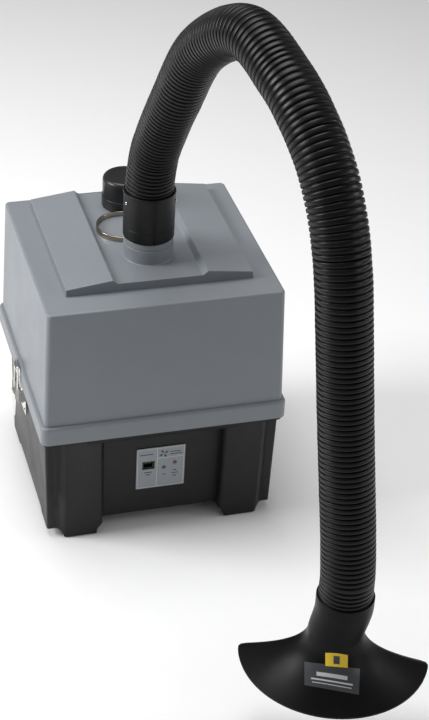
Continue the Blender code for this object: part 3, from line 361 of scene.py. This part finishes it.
def dress(node, mat, edge=0.0):
    """A copy of a CAD piece with softened edges and its own finish."""
    source = NODES[node]
    bm = bmesh.new()
    bm.from_mesh(source.data)
    bmesh.ops.remove_doubles(bm, verts=bm.verts, dist=1e-6)
    bmesh.ops.dissolve_limit(bm, angle_limit=math.radians(1.0), verts=bm.verts, edges=bm.edges)
    mesh = bpy.data.meshes.new("fine_" + node)
    bm.to_mesh(mesh)
    bm.free()
    obj = place_piece("fine_" + node, mesh, mat, source["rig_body"], (node,))
    if edge > 0:
        bevel = obj.modifiers.new("edges", "BEVEL")
        bevel.width = edge
        bevel.segments = 2
        bevel.limit_method = "ANGLE"
        bevel.angle_limit = math.radians(30.0)
        bevel.harden_normals = False
        obj.modifiers.move(len(obj.modifiers) - 1, 0)
    return obj


def repaint(mat, *names):
    for name in names:
        NODES[name].data.materials.clear()
        NODES[name].data.materials.append(mat)


# ---------------------------------------------------------------- hood
def pad_points(inset):
    half = [(PAD_HALF_X - inset, RIM_Z - 0.0080), (PAD_HALF_X - inset, RIM_Z + PAD_OUTER_H - inset),
            (PAD_INNER_X + inset * 0.4, RIM_Z + PAD_INNER_H - inset),
            (CHANNEL_HALF_X + inset * 0.4, RIM_Z + CHANNEL_H - inset)]
    return half + [(-x, z) for x, z in reversed(half)]


def pads_bm(inset, edge):
    middle = (PAD_FRONT + PAD_BACK) / 2
    stand = Matrix.Translation((0, middle, 0)) @ Matrix.Rotation(math.radians(90), 4, "X")
    return prism_bm(pad_points(inset), PAD_BACK - PAD_FRONT - 2 * inset, stand, edge)


def hood():
    spread = 1 + 2 * HOOD_DRAFT / HOOD_X
    shell = box_bm((-HOOD_X / 2, -HOOD_Y / 2, FLANGE_TOP - 0.006), (HOOD_X / 2, HOOD_Y / 2, RIM_Z),
                   0.0065, 0.0032, spread)
    band = box_bm((-FLANGE_X / 2, -FLANGE_Y / 2, FLANGE_BOTTOM), (FLANGE_X / 2, FLANGE_Y / 2, FLANGE_TOP),
                  0.010, 0.0038)
    inner = (HOOD_X / 2 - HOOD_WALL, HOOD_Y / 2 - HOOD_WALL)
    room = box_bm((-inner[0], -inner[1], FLANGE_BOTTOM - 0.01), (inner[0], inner[1], RIM_Z - HOOD_WALL),
                  0.006, 0.003, spread, 4, 3)
    skirt = box_bm((-FLANGE_X / 2 + HOOD_WALL, -FLANGE_Y / 2 + HOOD_WALL, FLANGE_BOTTOM - 0.01),
                   (FLANGE_X / 2 - HOOD_WALL, FLANGE_Y / 2 - HOOD_WALL, SEAL_LEDGE_Z), 0.007, 0, 1.0, 4, 3)
    bm = carve(shell, [("UNION", band), ("UNION", pads_bm(0.0, 0.0013)), ("DIFFERENCE", room),
                       ("DIFFERENCE", skirt), ("DIFFERENCE", pads_bm(HOOD_WALL, 0.0)),
                       ("DIFFERENCE", rod_bm((0, PORT_Y, 0.30), (0, PORT_Y, 0.45), BORE_R, 64)),
                       ("DIFFERENCE", rod_bm((0, CAPPED_Y, 0.30), (0, CAPPED_Y, 0.45), CAPPED_BORE_R, 64))])
    finish_piece("hood_shell", bm, M["grey"], BOX, ("hood",))
    floor = RIM_Z + CHANNEL_H
    seam = floor + 0.0190
    foot = arc(COLLAR_R + 0.0018, floor + 0.0016, 0.0018, 270, 180, 6)
    profile = [(BORE_R, 0.4040), (BORE_R + 0.0008, 0.4048), (SPIGOT_R - 0.0008, 0.4048), (SPIGOT_R, 0.4038),
               (SPIGOT_R, CUFF_BOTTOM - 0.0004)]
    profile += arc(COLLAR_R - 0.0014, CUFF_BOTTOM - 0.0014, 0.0009, 90, 0, 4)
    profile += [(COLLAR_R - 0.0005, seam + 0.0012), (COLLAR_R - 0.0011, seam + 0.0009),
                (COLLAR_R - 0.0011, seam + 0.0003), (COLLAR_R - 0.0004, seam), (COLLAR_R, seam - 0.0006)]
    profile += list(reversed(foot)) + [(COLLAR_R + 0.0018, floor - 0.0010), (BORE_R, floor - 0.0010)]
    finish_piece("hose_collar", lathe_bm(profile, (0, PORT_Y, 0)), M["grey"], BOX, ("hood",))
    bore, outside = CAPPED_BORE_R, CAPPED_COLLAR_R
    ring = [(bore, 0.3775), (0.0264, 0.3778), (outside, 0.3770), (outside, floor - 0.001),
            (bore, floor - 0.001)]
    finish_piece("capped_collar", lathe_bm(ring, (0, CAPPED_Y, 0), 64), M["grey"], BOX, ("hood",))


def port_cap():
    foot = RIM_Z + CHANNEL_H + GAP
    top = foot + CAP_HEIGHT
    profile = [(0, top - 0.0006), (0.0180, top - 0.0006), (0.0190, top)]
    profile += arc(CAP_R - CAP_CROWN, top - CAP_CROWN, CAP_CROWN, 90, 0, 10)
    profile += [(CAP_R, foot + 0.0154)] + arc(CAP_R, foot + 0.0140, 0.0010, 90, 0, 4)
    profile += [(0.0303, foot + 0.0010), (0.0297, foot), (0.0274, foot), (0.0274, 0.3785),
                (0.0262, top - 0.003), (0, top - 0.003)]
    finish_piece("port_cap_fine", lathe_bm(profile, (0, CAPPED_Y, 0), 128), M["cap"], "cap", ("port_cap",))


def trim_ring():
    foot = RIM_Z + CHANNEL_H + GAP
    r = 0.0007
    low, high = foot + r, foot + RING_HEIGHT - r
    profile = arc(RING_OUTER - r, high, r, 90, 0, 4) + arc(RING_OUTER - r, low, r, 0, -90, 4)
    profile += arc(RING_INNER + r, low, r, 270, 180, 4) + arc(RING_INNER + r, high, r, 180, 90, 4)
    finish_piece("trim_ring_fine", lathe_bm(profile, RING_AT, 128), M["ring"], BOX, ("trim_ring",))


# ---------------------------------------------------------------- hose
def arm_point(reach, height):
    return Vector((math.sin(ARM_AZIMUTH) * reach, PORT_Y - math.cos(ARM_AZIMUTH) * reach, height))


def dense_route(samples=40):
    points = [Vector((s, z)) for s, z in HOSE_ROUTE]
    padded = [points[0] - (points[1] - points[0])] + points + [points[-1] * 2 - points[-2]]
    line = []
    for i in range(1, len(padded) - 2):
        a, b, c, d = padded[i - 1:i + 3]
        for step in range(samples):
            t = step / samples
            at = 0.5 * ((2 * b) + (c - a) * t + (2 * a - 5 * b + 4 * c - d) * t * t
                        + (3 * b - a - 3 * c + d) * t * t * t)
            at.x = min(max(at.x, points[0].x), points[-1].x)
            line.append(at)
    line.append(points[-1])
    lengths = [0.0]
    for a, b in zip(line, line[1:]):
        lengths.append(lengths[-1] + (b - a).length)
    return line, lengths


LINE, LENGTHS = dense_route()
CROWN = max(range(len(LINE)), key=lambda i: LINE[i].y)


def length_at(height, rising):
    span = range(CROWN + 1) if rising else range(CROWN, len(LINE))
    hit = min(span, key=lambda i: abs(LINE[i].y - height))
    return LENGTHS[hit]


def route_at(s):
    """Centre and direction of the hose at a length along it."""
    s = min(max(s, 0.0), LENGTHS[-1])
    low, high = 0, len(LENGTHS) - 1
    while high - low > 1:
        mid = (low + high) // 2
        if LENGTHS[mid] <= s:
            low = mid
        else:
            high = mid
    t = (s - LENGTHS[low]) / (LENGTHS[high] - LENGTHS[low])
    at = LINE[low].lerp(LINE[high], t)
    a, b = LINE[max(low - 3, 0)], LINE[min(high + 3, len(LINE) - 1)]
    along = (arm_point(b.x, b.y) - arm_point(a.x, a.y)).normalized()
    return arm_point(at.x, at.y), along


def rib_pitch(s):
    """The folds are closest at the nozzle and pulled open most round the crown."""
    share = s / LENGTHS[-1]
    return 0.0059 + 0.0016 * math.exp(-((share - 0.40) / 0.27) ** 2) + 0.0002 * math.sin(share * 31.0)


def rib_table():
    """Lengths along the hose of the valleys between ribs."""
    valleys = [0.0]
    while valleys[-1] < LENGTHS[-1] - 0.0031:
        valleys.append(valleys[-1] + rib_pitch(valleys[-1]))
    scale = LENGTHS[-1] / valleys[-1]
    return [v * scale for v in valleys]


VALLEYS = rib_table()
RIB_SHAPE = [(0.0, 0.0), (0.07, 0.12), (0.13, 0.66), (0.21, 0.92), (0.34, 1.0), (0.5, 1.0), (0.66, 1.0),
             (0.79, 0.92), (0.87, 0.66), (0.93, 0.12)]


def hose_stretch(name, node, start, end, sides=56):
    """The ribs between two valleys, numbered along the hose, as one closed tube."""
    across = Vector((math.cos(ARM_AZIMUTH), math.sin(ARM_AZIMUTH), 0))
    bm = bmesh.new()

    def ring(s, radius):
        centre, along = route_at(s)
        up = along.cross(across)
        return [bm.verts.new(centre + radius * (math.cos(2 * math.pi * i / sides) * across
                                                + math.sin(2 * math.pi * i / sides) * up))
                for i in range(sides)]

    outer, inner = [], []
    for k in range(start, end):
        a, b = VALLEYS[k], VALLEYS[k + 1]
        wobble = 0.00022 * noise.noise(Vector((k * 0.37, 0.0, 1.3)))
        for share, height in RIB_SHAPE:
            outer.append(ring(a + (b - a) * share + (0.00005 if k == start and share == 0 else 0),
                              HOSE_R - RIB_DEPTH * (1 - height) + wobble * height - 0.0002))
        inner.append(ring(a + (0.00005 if k == start else 0), HOSE_BORE))
    last = VALLEYS[end] - 0.00005
    outer.append(ring(last, HOSE_R - RIB_DEPTH - 0.0002))
    inner.append(ring(last, HOSE_BORE))
    loops = outer + list(reversed(inner))
    for a, b in zip(loops, loops[1:] + loops[:1]):
        for i in range(sides):
            j = (i + 1) % sides
            bm.faces.new((a[i], a[j], b[j], b[i]))
    return finish_piece(name, bm, M["hose"], None, (node,), smooth=72.0)


def nearest_valley(s):
    return min(range(len(VALLEYS)), key=lambda k: abs(VALLEYS[k] - s))


def hose():
    marks = [0]
    marks += [nearest_valley(length_at(z, True)) for z in BEND_HEIGHTS_UP]
    marks += [nearest_valley(length_at(z, False)) for z in BEND_HEIGHTS_DOWN]
    marks.append(len(VALLEYS) - 1)
    names = ["hose_riser", "hose_lift_bend", "hose_arch", "hose_reach_bend", "hose_drop", "hose_tilt_bend",
             "hose_tail"]
    bodies = ["hose_base", ("hose_base", "arch"), "arch", ("arch", "drop"), "drop", ("drop", "tail"),
              "tail"]
    for name, body, first, last in zip(names, bodies, marks, marks[1:]):
        obj = hose_stretch("ribbed_" + name, name, first, last)
        if isinstance(body, str):
            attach(obj, body)
        else:
            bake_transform(obj)


def hose_cuff():
    foot, top = CUFF_BOTTOM, CUFF_TOP
    lip = CUFF_R + 0.0006
    profile = arc(lip - 0.0010, top - 0.0010, 0.0010, 90, 0, 5)
    profile += [(lip, top - 0.0030), (CUFF_R, top - 0.0038), (CUFF_R, foot + 0.0165),
                (CUFF_R - 0.0003, foot + 0.0162), (CUFF_R - 0.0003, foot + 0.0156), (CUFF_R, foot + 0.0153)]
    profile += arc(CUFF_R - 0.0010, foot + 0.0010, 0.0010, 0, -90, 4)
    profile += [(SPIGOT_R + GAP, foot), (SPIGOT_R + GAP, 0.4060), (0.0275, 0.4060), (0.0275, 0.4112),
                (HOSE_R + 0.0003, 0.4112), (HOSE_R + 0.0003, top)]
    bm = lathe_bm(profile, (0, PORT_Y, 0), 128)
    notch = Matrix.Translation((0, PORT_Y, 0)) @ Matrix.Rotation(math.radians(CUFF_SLIT_DEG), 4, "Z")
    cutter = box_bm((CUFF_R - 0.0016, -0.0010, foot - 0.001), (CUFF_R + 0.002, 0.0010, foot + 0.0070))
    bmesh.ops.transform(cutter, matrix=notch, verts=cutter.verts)
    bm = carve(bm, [("DIFFERENCE", cutter)])
    finish_piece("hose_cuff_fine", bm, M["hose"], "hose_base", ("hose_cuff",))
    for tag, turn in CUFF_SCREWS:
        out = Vector((math.cos(math.radians(turn)), math.sin(math.radians(turn)), 0))
        at = Vector((0, PORT_Y, CUFF_SCREW_Z)) + out * (CUFF_R + 0.0001)
        head = rod_bm(at, at + out * 0.0013, 0.0022, 32, 0.0004)
        side = out.cross(Vector((0, 0, 1)))
        face = at + out * 0.0013
        slots = [("DIFFERENCE", rod_bm(face - way * 0.0015, face + way * 0.0015, 0.0003, 8))
                 for way in (side, Vector((0, 0, 1)))]
        finish_piece("cuff_screw_head_" + tag, carve(head, slots), M["steel"], "hose_base",
                     ("cuff_screw_" + tag,))


# ---------------------------------------------------------------- nozzle
def rim_reach(angle):
    """Distance from the funnel's centre to the half-round rim, in one direction."""
    y = math.sin(angle)
    b = y * NOZZLE_BACK
    front = b + math.sqrt(max(0.0, b * b - NOZZLE_BACK * NOZZLE_BACK + NOZZLE_R * NOZZLE_R))
    flat = NOZZLE_BACK / y if y > 1e-9 else 1e9
    k = NOZZLE_TIP
    return -k * math.log(math.exp(-front / k) + math.exp(-min(flat, 1.0) / k))


def flare_point(angle, u, wall=0.0):
    """A point on the flare, from the neck (0) to the top of the lip (1)."""
    reach = (NECK_R - wall) * (1 - u * u) + (rim_reach(angle) - wall) * u * u
    z = NECK_Z + (NOZZLE_RIM_Z + NOZZLE_LIP - NECK_Z) * u
    return NOZZLE_LEAN + Vector((math.cos(angle) * reach, math.sin(angle) * reach, z))


def flare_height(x, y):
    """Height of the flare's outside over a place in the nozzle's plan."""
    x, y = x - NOZZLE_LEAN.x, y - NOZZLE_LEAN.y
    share = (math.hypot(x, y) - NECK_R) / (rim_reach(math.atan2(y, x)) - NECK_R)
    return NECK_Z + (NOZZLE_RIM_Z + NOZZLE_LIP - NECK_Z) * math.sqrt(min(max(share, 0.0), 1.0))


def neck_place():
    at = arm_point(HOSE_ROUTE[-1][0], 0.0)
    return Matrix.Translation(at) @ Matrix.Rotation(NOZZLE_TURN, 4, "Z")


def nozzle():
    count, steps = 144, 36
    angles = [2 * math.pi * i / count for i in range(count)]
    bm = bmesh.new()

    def ring(points):
        return [bm.verts.new(p) for p in points]

    def round_ring(radius, z, lean=0.0):
        return ring([(math.cos(a) * radius + NOZZLE_LEAN.x * lean,
                      math.sin(a) * radius + NOZZLE_LEAN.y * lean, z) for a in angles])

    def rim_ring(inset, z):
        return ring([(math.cos(a) * (rim_reach(a) - inset) + NOZZLE_LEAN.x,
                      math.sin(a) * (rim_reach(a) - inset) + NOZZLE_LEAN.y, z) for a in angles])

    def neck_rings(wall, low, high, parts=10):
        rings = []
        for i in range(parts + 1):
            t = i / parts
            z = high + (low - high) * t
            fall = min(max((0.190 - z) / (0.190 - NECK_Z), 0.0), 1.0)
            radius = MOUTH_R + (NECK_R - MOUTH_R) * fall
            rings.append(round_ring(radius - wall, z, fall * fall * (2.0 - fall)))
        return rings

    loops = [round_ring(MOUTH_R - 0.0007, MOUTH_Z), round_ring(MOUTH_R - 0.0002, MOUTH_Z - 0.0002),
             round_ring(MOUTH_R, MOUTH_Z - 0.0008)]
    loops += neck_rings(0.0, NECK_Z, 0.190)
    levels = [i / steps for i in range(1, steps + 1)]
    for u in levels:
        loops.append(ring([flare_point(a, u) for a in angles]))
    foot = NOZZLE_RIM_Z
    loops += [rim_ring(0.0001, foot + 0.0011), rim_ring(0.0004, foot + 0.0003), rim_ring(0.0010, foot),
              rim_ring(NOZZLE_WALL - 0.0008, foot), rim_ring(NOZZLE_WALL, foot + 0.0004)]
    for u in reversed(levels):
        loops.append(ring([flare_point(a, u, NOZZLE_WALL) - Vector((0, 0, NOZZLE_WALL)) for a in angles]))
    loops += list(reversed(neck_rings(NOZZLE_WALL, NECK_Z, SOCKET_FLOOR - 0.0017)))
    bore = MOUTH_R - NECK_R + NOZZLE_WALL
    loops += [round_ring(MOUTH_R - bore, SOCKET_FLOOR), round_ring(SOCKET_R, SOCKET_FLOOR),
              round_ring(SOCKET_R, MOUTH_Z - 0.0003), round_ring(SOCKET_R + 0.0003, MOUTH_Z)]
    for a, b in zip(loops, loops[1:] + loops[:1]):
        for i in range(count):
            j = (i + 1) % count
            bm.faces.new((a[i], a[j], b[j], b[i]))
    bmesh.ops.transform(bm, matrix=neck_place(), verts=bm.verts)
    finish_piece("nozzle_fine", bm, M["nozzle"], "nozzle_body", ("nozzle",))


def place_on(control, u, v):
    """The place at shares (u, v) of a patch's width and height, from its nine control places."""
    across = ((1 - u) * (1 - 2 * u), 4 * u * (1 - u), u * (2 * u - 1))
    down = ((1 - v) * (1 - 2 * v), 4 * v * (1 - v), v * (2 * v - 1))
    return sum((Vector(control[i][j]) * down[i] * across[j] for i in range(3) for j in range(3)),
               Vector((0, 0)))


def flare_patch(name, mat, control, lift, count=10):
    """A thin sticker laid on the flare. control gives nine places in the nozzle's plan, in rows
    from its top edge to its bottom edge; between them it is curved evenly."""
    place = neck_place()
    bm = bmesh.new()
    grids = []
    for layer in (lift, lift - 0.0004):
        grid = []
        for r in range(count + 1):
            row = []
            for c in range(count + 1):
                at = place_on(control, c / count, r / count)
                row.append(bm.verts.new(place @ Vector((at.x, at.y, flare_height(at.x, at.y) + layer))))
            grid.append(row)
        grids.append(grid)
    top, low = grids
    for r in range(count):
        for c in range(count):
            bm.faces.new((top[r][c], top[r][c + 1], top[r + 1][c + 1], top[r + 1][c]))
            bm.faces.new((low[r][c], low[r + 1][c], low[r + 1][c + 1], low[r][c + 1]))
    edge = [(0, c) for c in range(count)] + [(r, count) for r in range(count)]
    edge += [(count, c) for c in range(count, 0, -1)] + [(r, 0) for r in range(count, 0, -1)]
    for (r0, c0), (r1, c1) in zip(edge, edge[1:] + edge[:1]):
        bm.faces.new((top[r0][c0], top[r1][c1], low[r1][c1], low[r0][c0]))
    return finish_piece(name, bm, mat, "nozzle_body", ("nozzle",))


LABEL = [[(-0.0382, -0.0310), (-0.0075, -0.0394), (0.0235, -0.0330)],
         [(-0.0371, -0.0408), (-0.0066, -0.0467), (0.0241, -0.0431)],
         [(-0.0359, -0.0507), (-0.0057, -0.0555), (0.0247, -0.0538)]]
SIGN = [[(-0.0163, -0.0338), (-0.0039, -0.0348), (0.0086, -0.0322)],
        [(-0.0156, -0.0365), (-0.0033, -0.0371), (0.0092, -0.0348)],
        [(-0.0150, -0.0397), (-0.0026, -0.0401), (0.0098, -0.0380)]]


def part_of(control, left, top, right, bottom):
    """The nine places of a smaller patch inside a larger one, by shares of its width and height."""
    return [[tuple(place_on(control, left + (right - left) * j / 2, top + (bottom - top) * i / 2))
             for j in range(3)] for i in range(3)]


def nozzle_details():
    flare_patch("nozzle_plate_label", M["sticker"], LABEL, 0.0004)
    bars = ((0.22, 0.36, 0.78, 0.52), (0.12, 0.64, 0.88, 0.70), (0.14, 0.80, 0.86, 0.83))
    for i, share in enumerate(bars):
        flare_patch(f"nozzle_label_bar_{i}", M["panel_edge"], part_of(LABEL, *share), 0.0006, 6)
    flare_patch("nozzle_sign", M["yellow"], SIGN, 0.0007)
    flare_patch("nozzle_sign_mark", M["sticker"], part_of(SIGN, 0.36, 0.2, 0.64, 0.8), 0.0009, 6)
    place = neck_place()
    angle = math.radians(NECK_SCREW_DEG)
    out = Vector((math.cos(angle), math.sin(angle), 0))
    at = place @ (out * (MOUTH_R - 0.0004) + Vector((0, 0, NECK_SCREW_Z)))
    way = (place.to_3x3() @ out).normalized()
    finish_piece("neck_screw", rod_bm(at, at + way * 0.0024, 0.0030, 32, 0.0008), M["nozzle"],
                 "nozzle_body", ("nozzle",))


# ---------------------------------------------------------------- label plate
def front_plane(z):
    return RECESS_Y * (1 - (1 - TUB_TAPER) * (TUB_TOP - z) / (TUB_TOP - TUB_BOTTOM))


def plate_place():
    tilt = math.atan2(front_plane(0) - front_plane(0.1), 0.1)
    return Matrix.Translation((0, front_plane(PANEL_Z) - GAP, PANEL_Z)) @ Matrix.Rotation(tilt, 4, "X")


def plate_piece(name, mat, points, front, thick):
    """A flat outline on the plate, drawn as (x, z) from its middle."""
    stand = (plate_place() @ Matrix.Translation((0, -front + thick / 2, 0))
             @ Matrix.Rotation(math.radians(90), 4, "X"))
    bm = prism_bm(points, thick, stand)
    return finish_piece(name, bm, mat, BOX, ("front_panel",))


def rectangle(x0, z0, x1, z1):
    return [(x0, z0), (x1, z0), (x1, z1), (x0, z1)]


def front_panel():
    half, corner = PANEL_HALF, 0.0012
    near = half - corner
    outline = []
    for i, (x, z) in enumerate(((near, near), (-near, near), (-near, -near), (near, -near))):
        outline += arc(x, z, corner, 90 * i, 90 * i + 90, 4)
    flat = plate_place() @ Matrix.Translation((0, -0.0004, 0)) @ Matrix.Rotation(math.radians(90), 4, "X")
    plate = prism_bm(outline, 0.0008, flat)
    cuts = [("DIFFERENCE", box_bm((SOCKET_X[0], -0.16, SOCKET_Z[0]), (SOCKET_X[1], -0.12, SOCKET_Z[1])))]
    for x, z in (STATUS_AT, ALARM_AT):
        cuts.append(("DIFFERENCE", rod_bm((x, -0.16, z), (x, -0.12, z), LAMP_WINDOW_R, 32)))
    finish_piece("label_plate", carve(plate, cuts), M["panel"], BOX, ("front_panel",))
    face, skin, line = 0.00095, 0.00015, 0.0007
    inner = half - 0.0012
    divider_x, divider_z = -0.0052, 0.0143
    bars = {"top": (-inner, inner - line, inner, inner), "bottom": (-inner, -inner, inner, -inner + line),
            "left": (-inner, -inner, -inner + line, inner), "right": (inner - line, -inner, inner, inner),
            "column": (divider_x, -inner, divider_x + line, inner),
            "row": (divider_x, divider_z, inner, divider_z + line)}
    for name, shape in bars.items():
        plate_piece("plate_line_" + name, M["panel_edge"], rectangle(*shape), face, skin)
    centre = (0.0039, 0.0213)
    for i in range(4):
        turn = math.radians(90 * i + 20)
        blade = [(0.0012 + 0.0058 * k / 8, 0.0022 * math.sin(math.pi * k / 8)) for k in range(9)]
        blade += [(0.0012 + 0.0058 * k / 8, -0.0010 * math.sin(math.pi * k / 8) + 0.0008 * k / 8)
                  for k in range(7, 0, -1)]
        spun = [(centre[0] + x * math.cos(turn) - y * math.sin(turn),
                 centre[1] + x * math.sin(turn) + y * math.cos(turn)) for x, y in blade]
        plate_piece(f"fan_mark_{i}", M["ink"], spun, face, skin)
    rows = [(0.0125, 0.0226, 0.014), (0.0125, 0.0188, 0.016), (-half + 0.004, 0.0215, 0.018),
            (-0.0215, -0.0072, 0.0100), (-0.0190, -0.0110, 0.0050), (0.0030, -0.0130, 0.0040),
            (0.0165, -0.0080, 0.0050), (0.0150, -0.0125, 0.0085), (0.0165, -0.0170, 0.0050)]
    for i, (x, z, width) in enumerate(rows):
        plate_piece(f"plate_text_{i}", M["ink"], rectangle(x, z, x + width, z + 0.0012), face, skin)
    for node, tint, (x, z) in (("status_lamp", "green", STATUS_AT), ("alarm_lamp", "red", ALARM_AT)):
        y = front_plane(z) - 0.0008
        profile = [(0, 0.0012)] + [(0.0025 * math.sin(math.radians(a)), 0.0012 * math.cos(math.radians(a)))
                                   for a in (20, 40, 60, 80)]
        profile += [(0.0025, -0.0002), (0.0025, -0.0100), (0, -0.0100)]
        bm = lathe_bm(profile, steps=40)
        facing = Matrix.Translation((x, y, z)) @ Matrix.Rotation(math.radians(90), 4, "X")
        bmesh.ops.transform(bm, matrix=facing, verts=bm.verts)
        finish_piece(node + "_lens", bm, M[tint], BOX, (node,))
    dress("interface_socket", M["cap"], 0.0003)
    middle_x, middle_z = sum(SOCKET_X) / 2, sum(SOCKET_Z) / 2
    for i in range(6):
        x = middle_x + (i - 2.5) * 0.0015
        pin = rod_bm((x, -0.1235, middle_z), (x, -0.1300, middle_z), 0.0003, 12)
        finish_piece(f"socket_contact_{i}", pin, M["contact"], BOX, ("interface_socket",))


# ---------------------------------------------------------------- tub, latches, back and inside
def dressed_pieces():
    dress("base_tub", M["tub"], 0.0)
    for place in ("front_left", "front_right", "back_left", "back_right"):
        dress("foot_pad_" + place, M["rubber"], 0.0)
    for side in ("left", "right"):
        dress("latch_plate_" + side, M["steel"], 0.0002)
        dress("keeper_" + side, M["steel"], 0.0002)
        dress("latch_lever_" + side, M["steel"], 0.0002)
        dress("latch_bail_" + side, M["steel"], 0.0)
    for name in ("exhaust_grille", "power_inlet", "switch_frame", "fuse_holder", "fuse_drawer"):
        dress(name, M["cap"], 0.0003)
    dress("switch_rocker", M["rocker"], 0.0004)


def rivet(name, x, y, z, out, node):
    """A domed head standing 1 mm out of a side face; out is -1 on the left and 1 on the right."""
    head = rod_bm((x - out * 0.0002, y, z), (x + out * 0.0010, y, z), 0.0018, 24, 0.0005)
    finish_piece(name, head, M["steel"], BOX, (node,))


def rivets():
    sheet = GAP + 0.0012
    for side, tag in ((-1, "left"), (1, "right")):
        wall, rim = side * (TUB_SIDE_X + sheet), side * (FLANGE_X / 2 + sheet)
        for i, y in enumerate((-0.008, 0.008)):
            rivet(f"plate_rivet_{tag}_{i}", wall, y, 0.1125, side, "latch_plate_" + tag)
        for i, y in enumerate((-0.009, 0.009)):
            rivet(f"keeper_rivet_{tag}_{i}", rim, y, 0.1650, side, "keeper_" + tag)


def inside():
    repaint(M["rubber"], "filter_seal", "lid_gasket", "damper_back_left", "damper_back_right",
            "damper_front_left", "damper_front_right")
    repaint(M["sheet"], "blower_cover", "carbon_grid", "cassette_frame", "motor_bracket", "power_supply")
    repaint(M["cast"], "blower_drum", "motor", "impeller")
    repaint(M["cap"], "deck_plate", "exhaust_duct")
    repaint(M["steel"], "motor_shaft")
    repaint(M["carbon"], "carbon_bed")
    repaint(M["fleece"], "prefilter_mat")
    repaint(M["paper"], "hepa_pleats")
    repaint(M["foam"], "silencer_foam")
    repaint(M["board"], "control_board")


# ---------------------------------------------------------------- stage, light, camera
FLOOR_Z = -0.0002
WORLD_STRENGTH = 0.20
CAMERA_LENS = 94.6
CAMERA_YAW, CAMERA_ROLL = 0.2979, 0.0542
CAMERA_FORWARD = Vector((0.2445, 0.7961, -0.5535))
CAMERA_AT = Vector((-0.5164, -2.0287, 1.2199 + RIM_Z))      # in the box's own frame


def stage():
    bm = bmesh.new()
    bmesh.ops.create_grid(bm, x_segments=1, y_segments=1, size=6.0)
    mesh = bpy.data.meshes.new("floor")
    bm.to_mesh(mesh)
    bm.free()
    floor = bpy.data.objects.new("floor", mesh)
    floor.location = (0, 0, FLOOR_Z)
    mesh.materials.append(M["floor"])
    bpy.context.scene.collection.objects.link(floor)
    world = bpy.data.worlds.new("studio")
    world.use_nodes = True
    backdrop = world.node_tree.nodes["Background"]
    backdrop.inputs["Color"].default_value = (1.0, 1.0, 1.0, 1)
    backdrop.inputs["Strength"].default_value = WORLD_STRENGTH
    bpy.context.scene.world = world
    bpy.context.scene.view_settings.view_transform = "Standard"


def lamp(name, location, aim, size, power):
    data = bpy.data.lights.new(name, "AREA")
    data.shape = "RECTANGLE"
    data.size = data.size_y = size
    data.energy = power
    obj = bpy.data.objects.new(name, data)
    obj.location = location
    obj.rotation_euler = (Vector(aim) - Vector(location)).to_track_quat("-Z", "Y").to_euler()
    bpy.context.scene.collection.objects.link(obj)


def lights():
    lamp("key_left", (-2.0, 0.5, 1.5), (0, 0.15, 0.25), 1.0, 48)
    lamp("overhead", (-0.2, 0.5, 2.4), (0, 0.1, 0.3), 1.4, 34)
    lamp("edge_right", (1.9, -0.4, 1.0), (0.05, 0.0, 0.3), 0.7, 7)
    lamp("front_right", (1.5, -1.5, 0.7), (0.14, 0.1, 0.25), 0.8, 4)


def camera():
    data = bpy.data.cameras.new("camera")
    data.sensor_width = 36.0
    data.lens = CAMERA_LENS
    data.clip_end = 50
    obj = bpy.data.objects.new("camera", data)
    roll = CAMERA_ROLL
    forward = CAMERA_FORWARD.normalized()
    right = Vector((math.cos(CAMERA_YAW), -math.sin(CAMERA_YAW), 0))
    up = right.cross(forward)
    x = math.cos(roll) * right + math.sin(roll) * up
    y = -math.sin(roll) * right + math.cos(roll) * up
    place = Matrix((x, y, -forward)).transposed().to_4x4()
    place.translation = CAMERA_AT + SHIFT
    obj.matrix_world = place
    bpy.context.scene.collection.objects.link(obj)
    bpy.context.scene.camera = obj


def main():
    hood()
    port_cap()
    trim_ring()
    hose()
    hose_cuff()
    nozzle()
    nozzle_details()
    front_panel()
    dressed_pieces()
    rivets()
    inside()
    stage()
    lights()
    camera()


main()
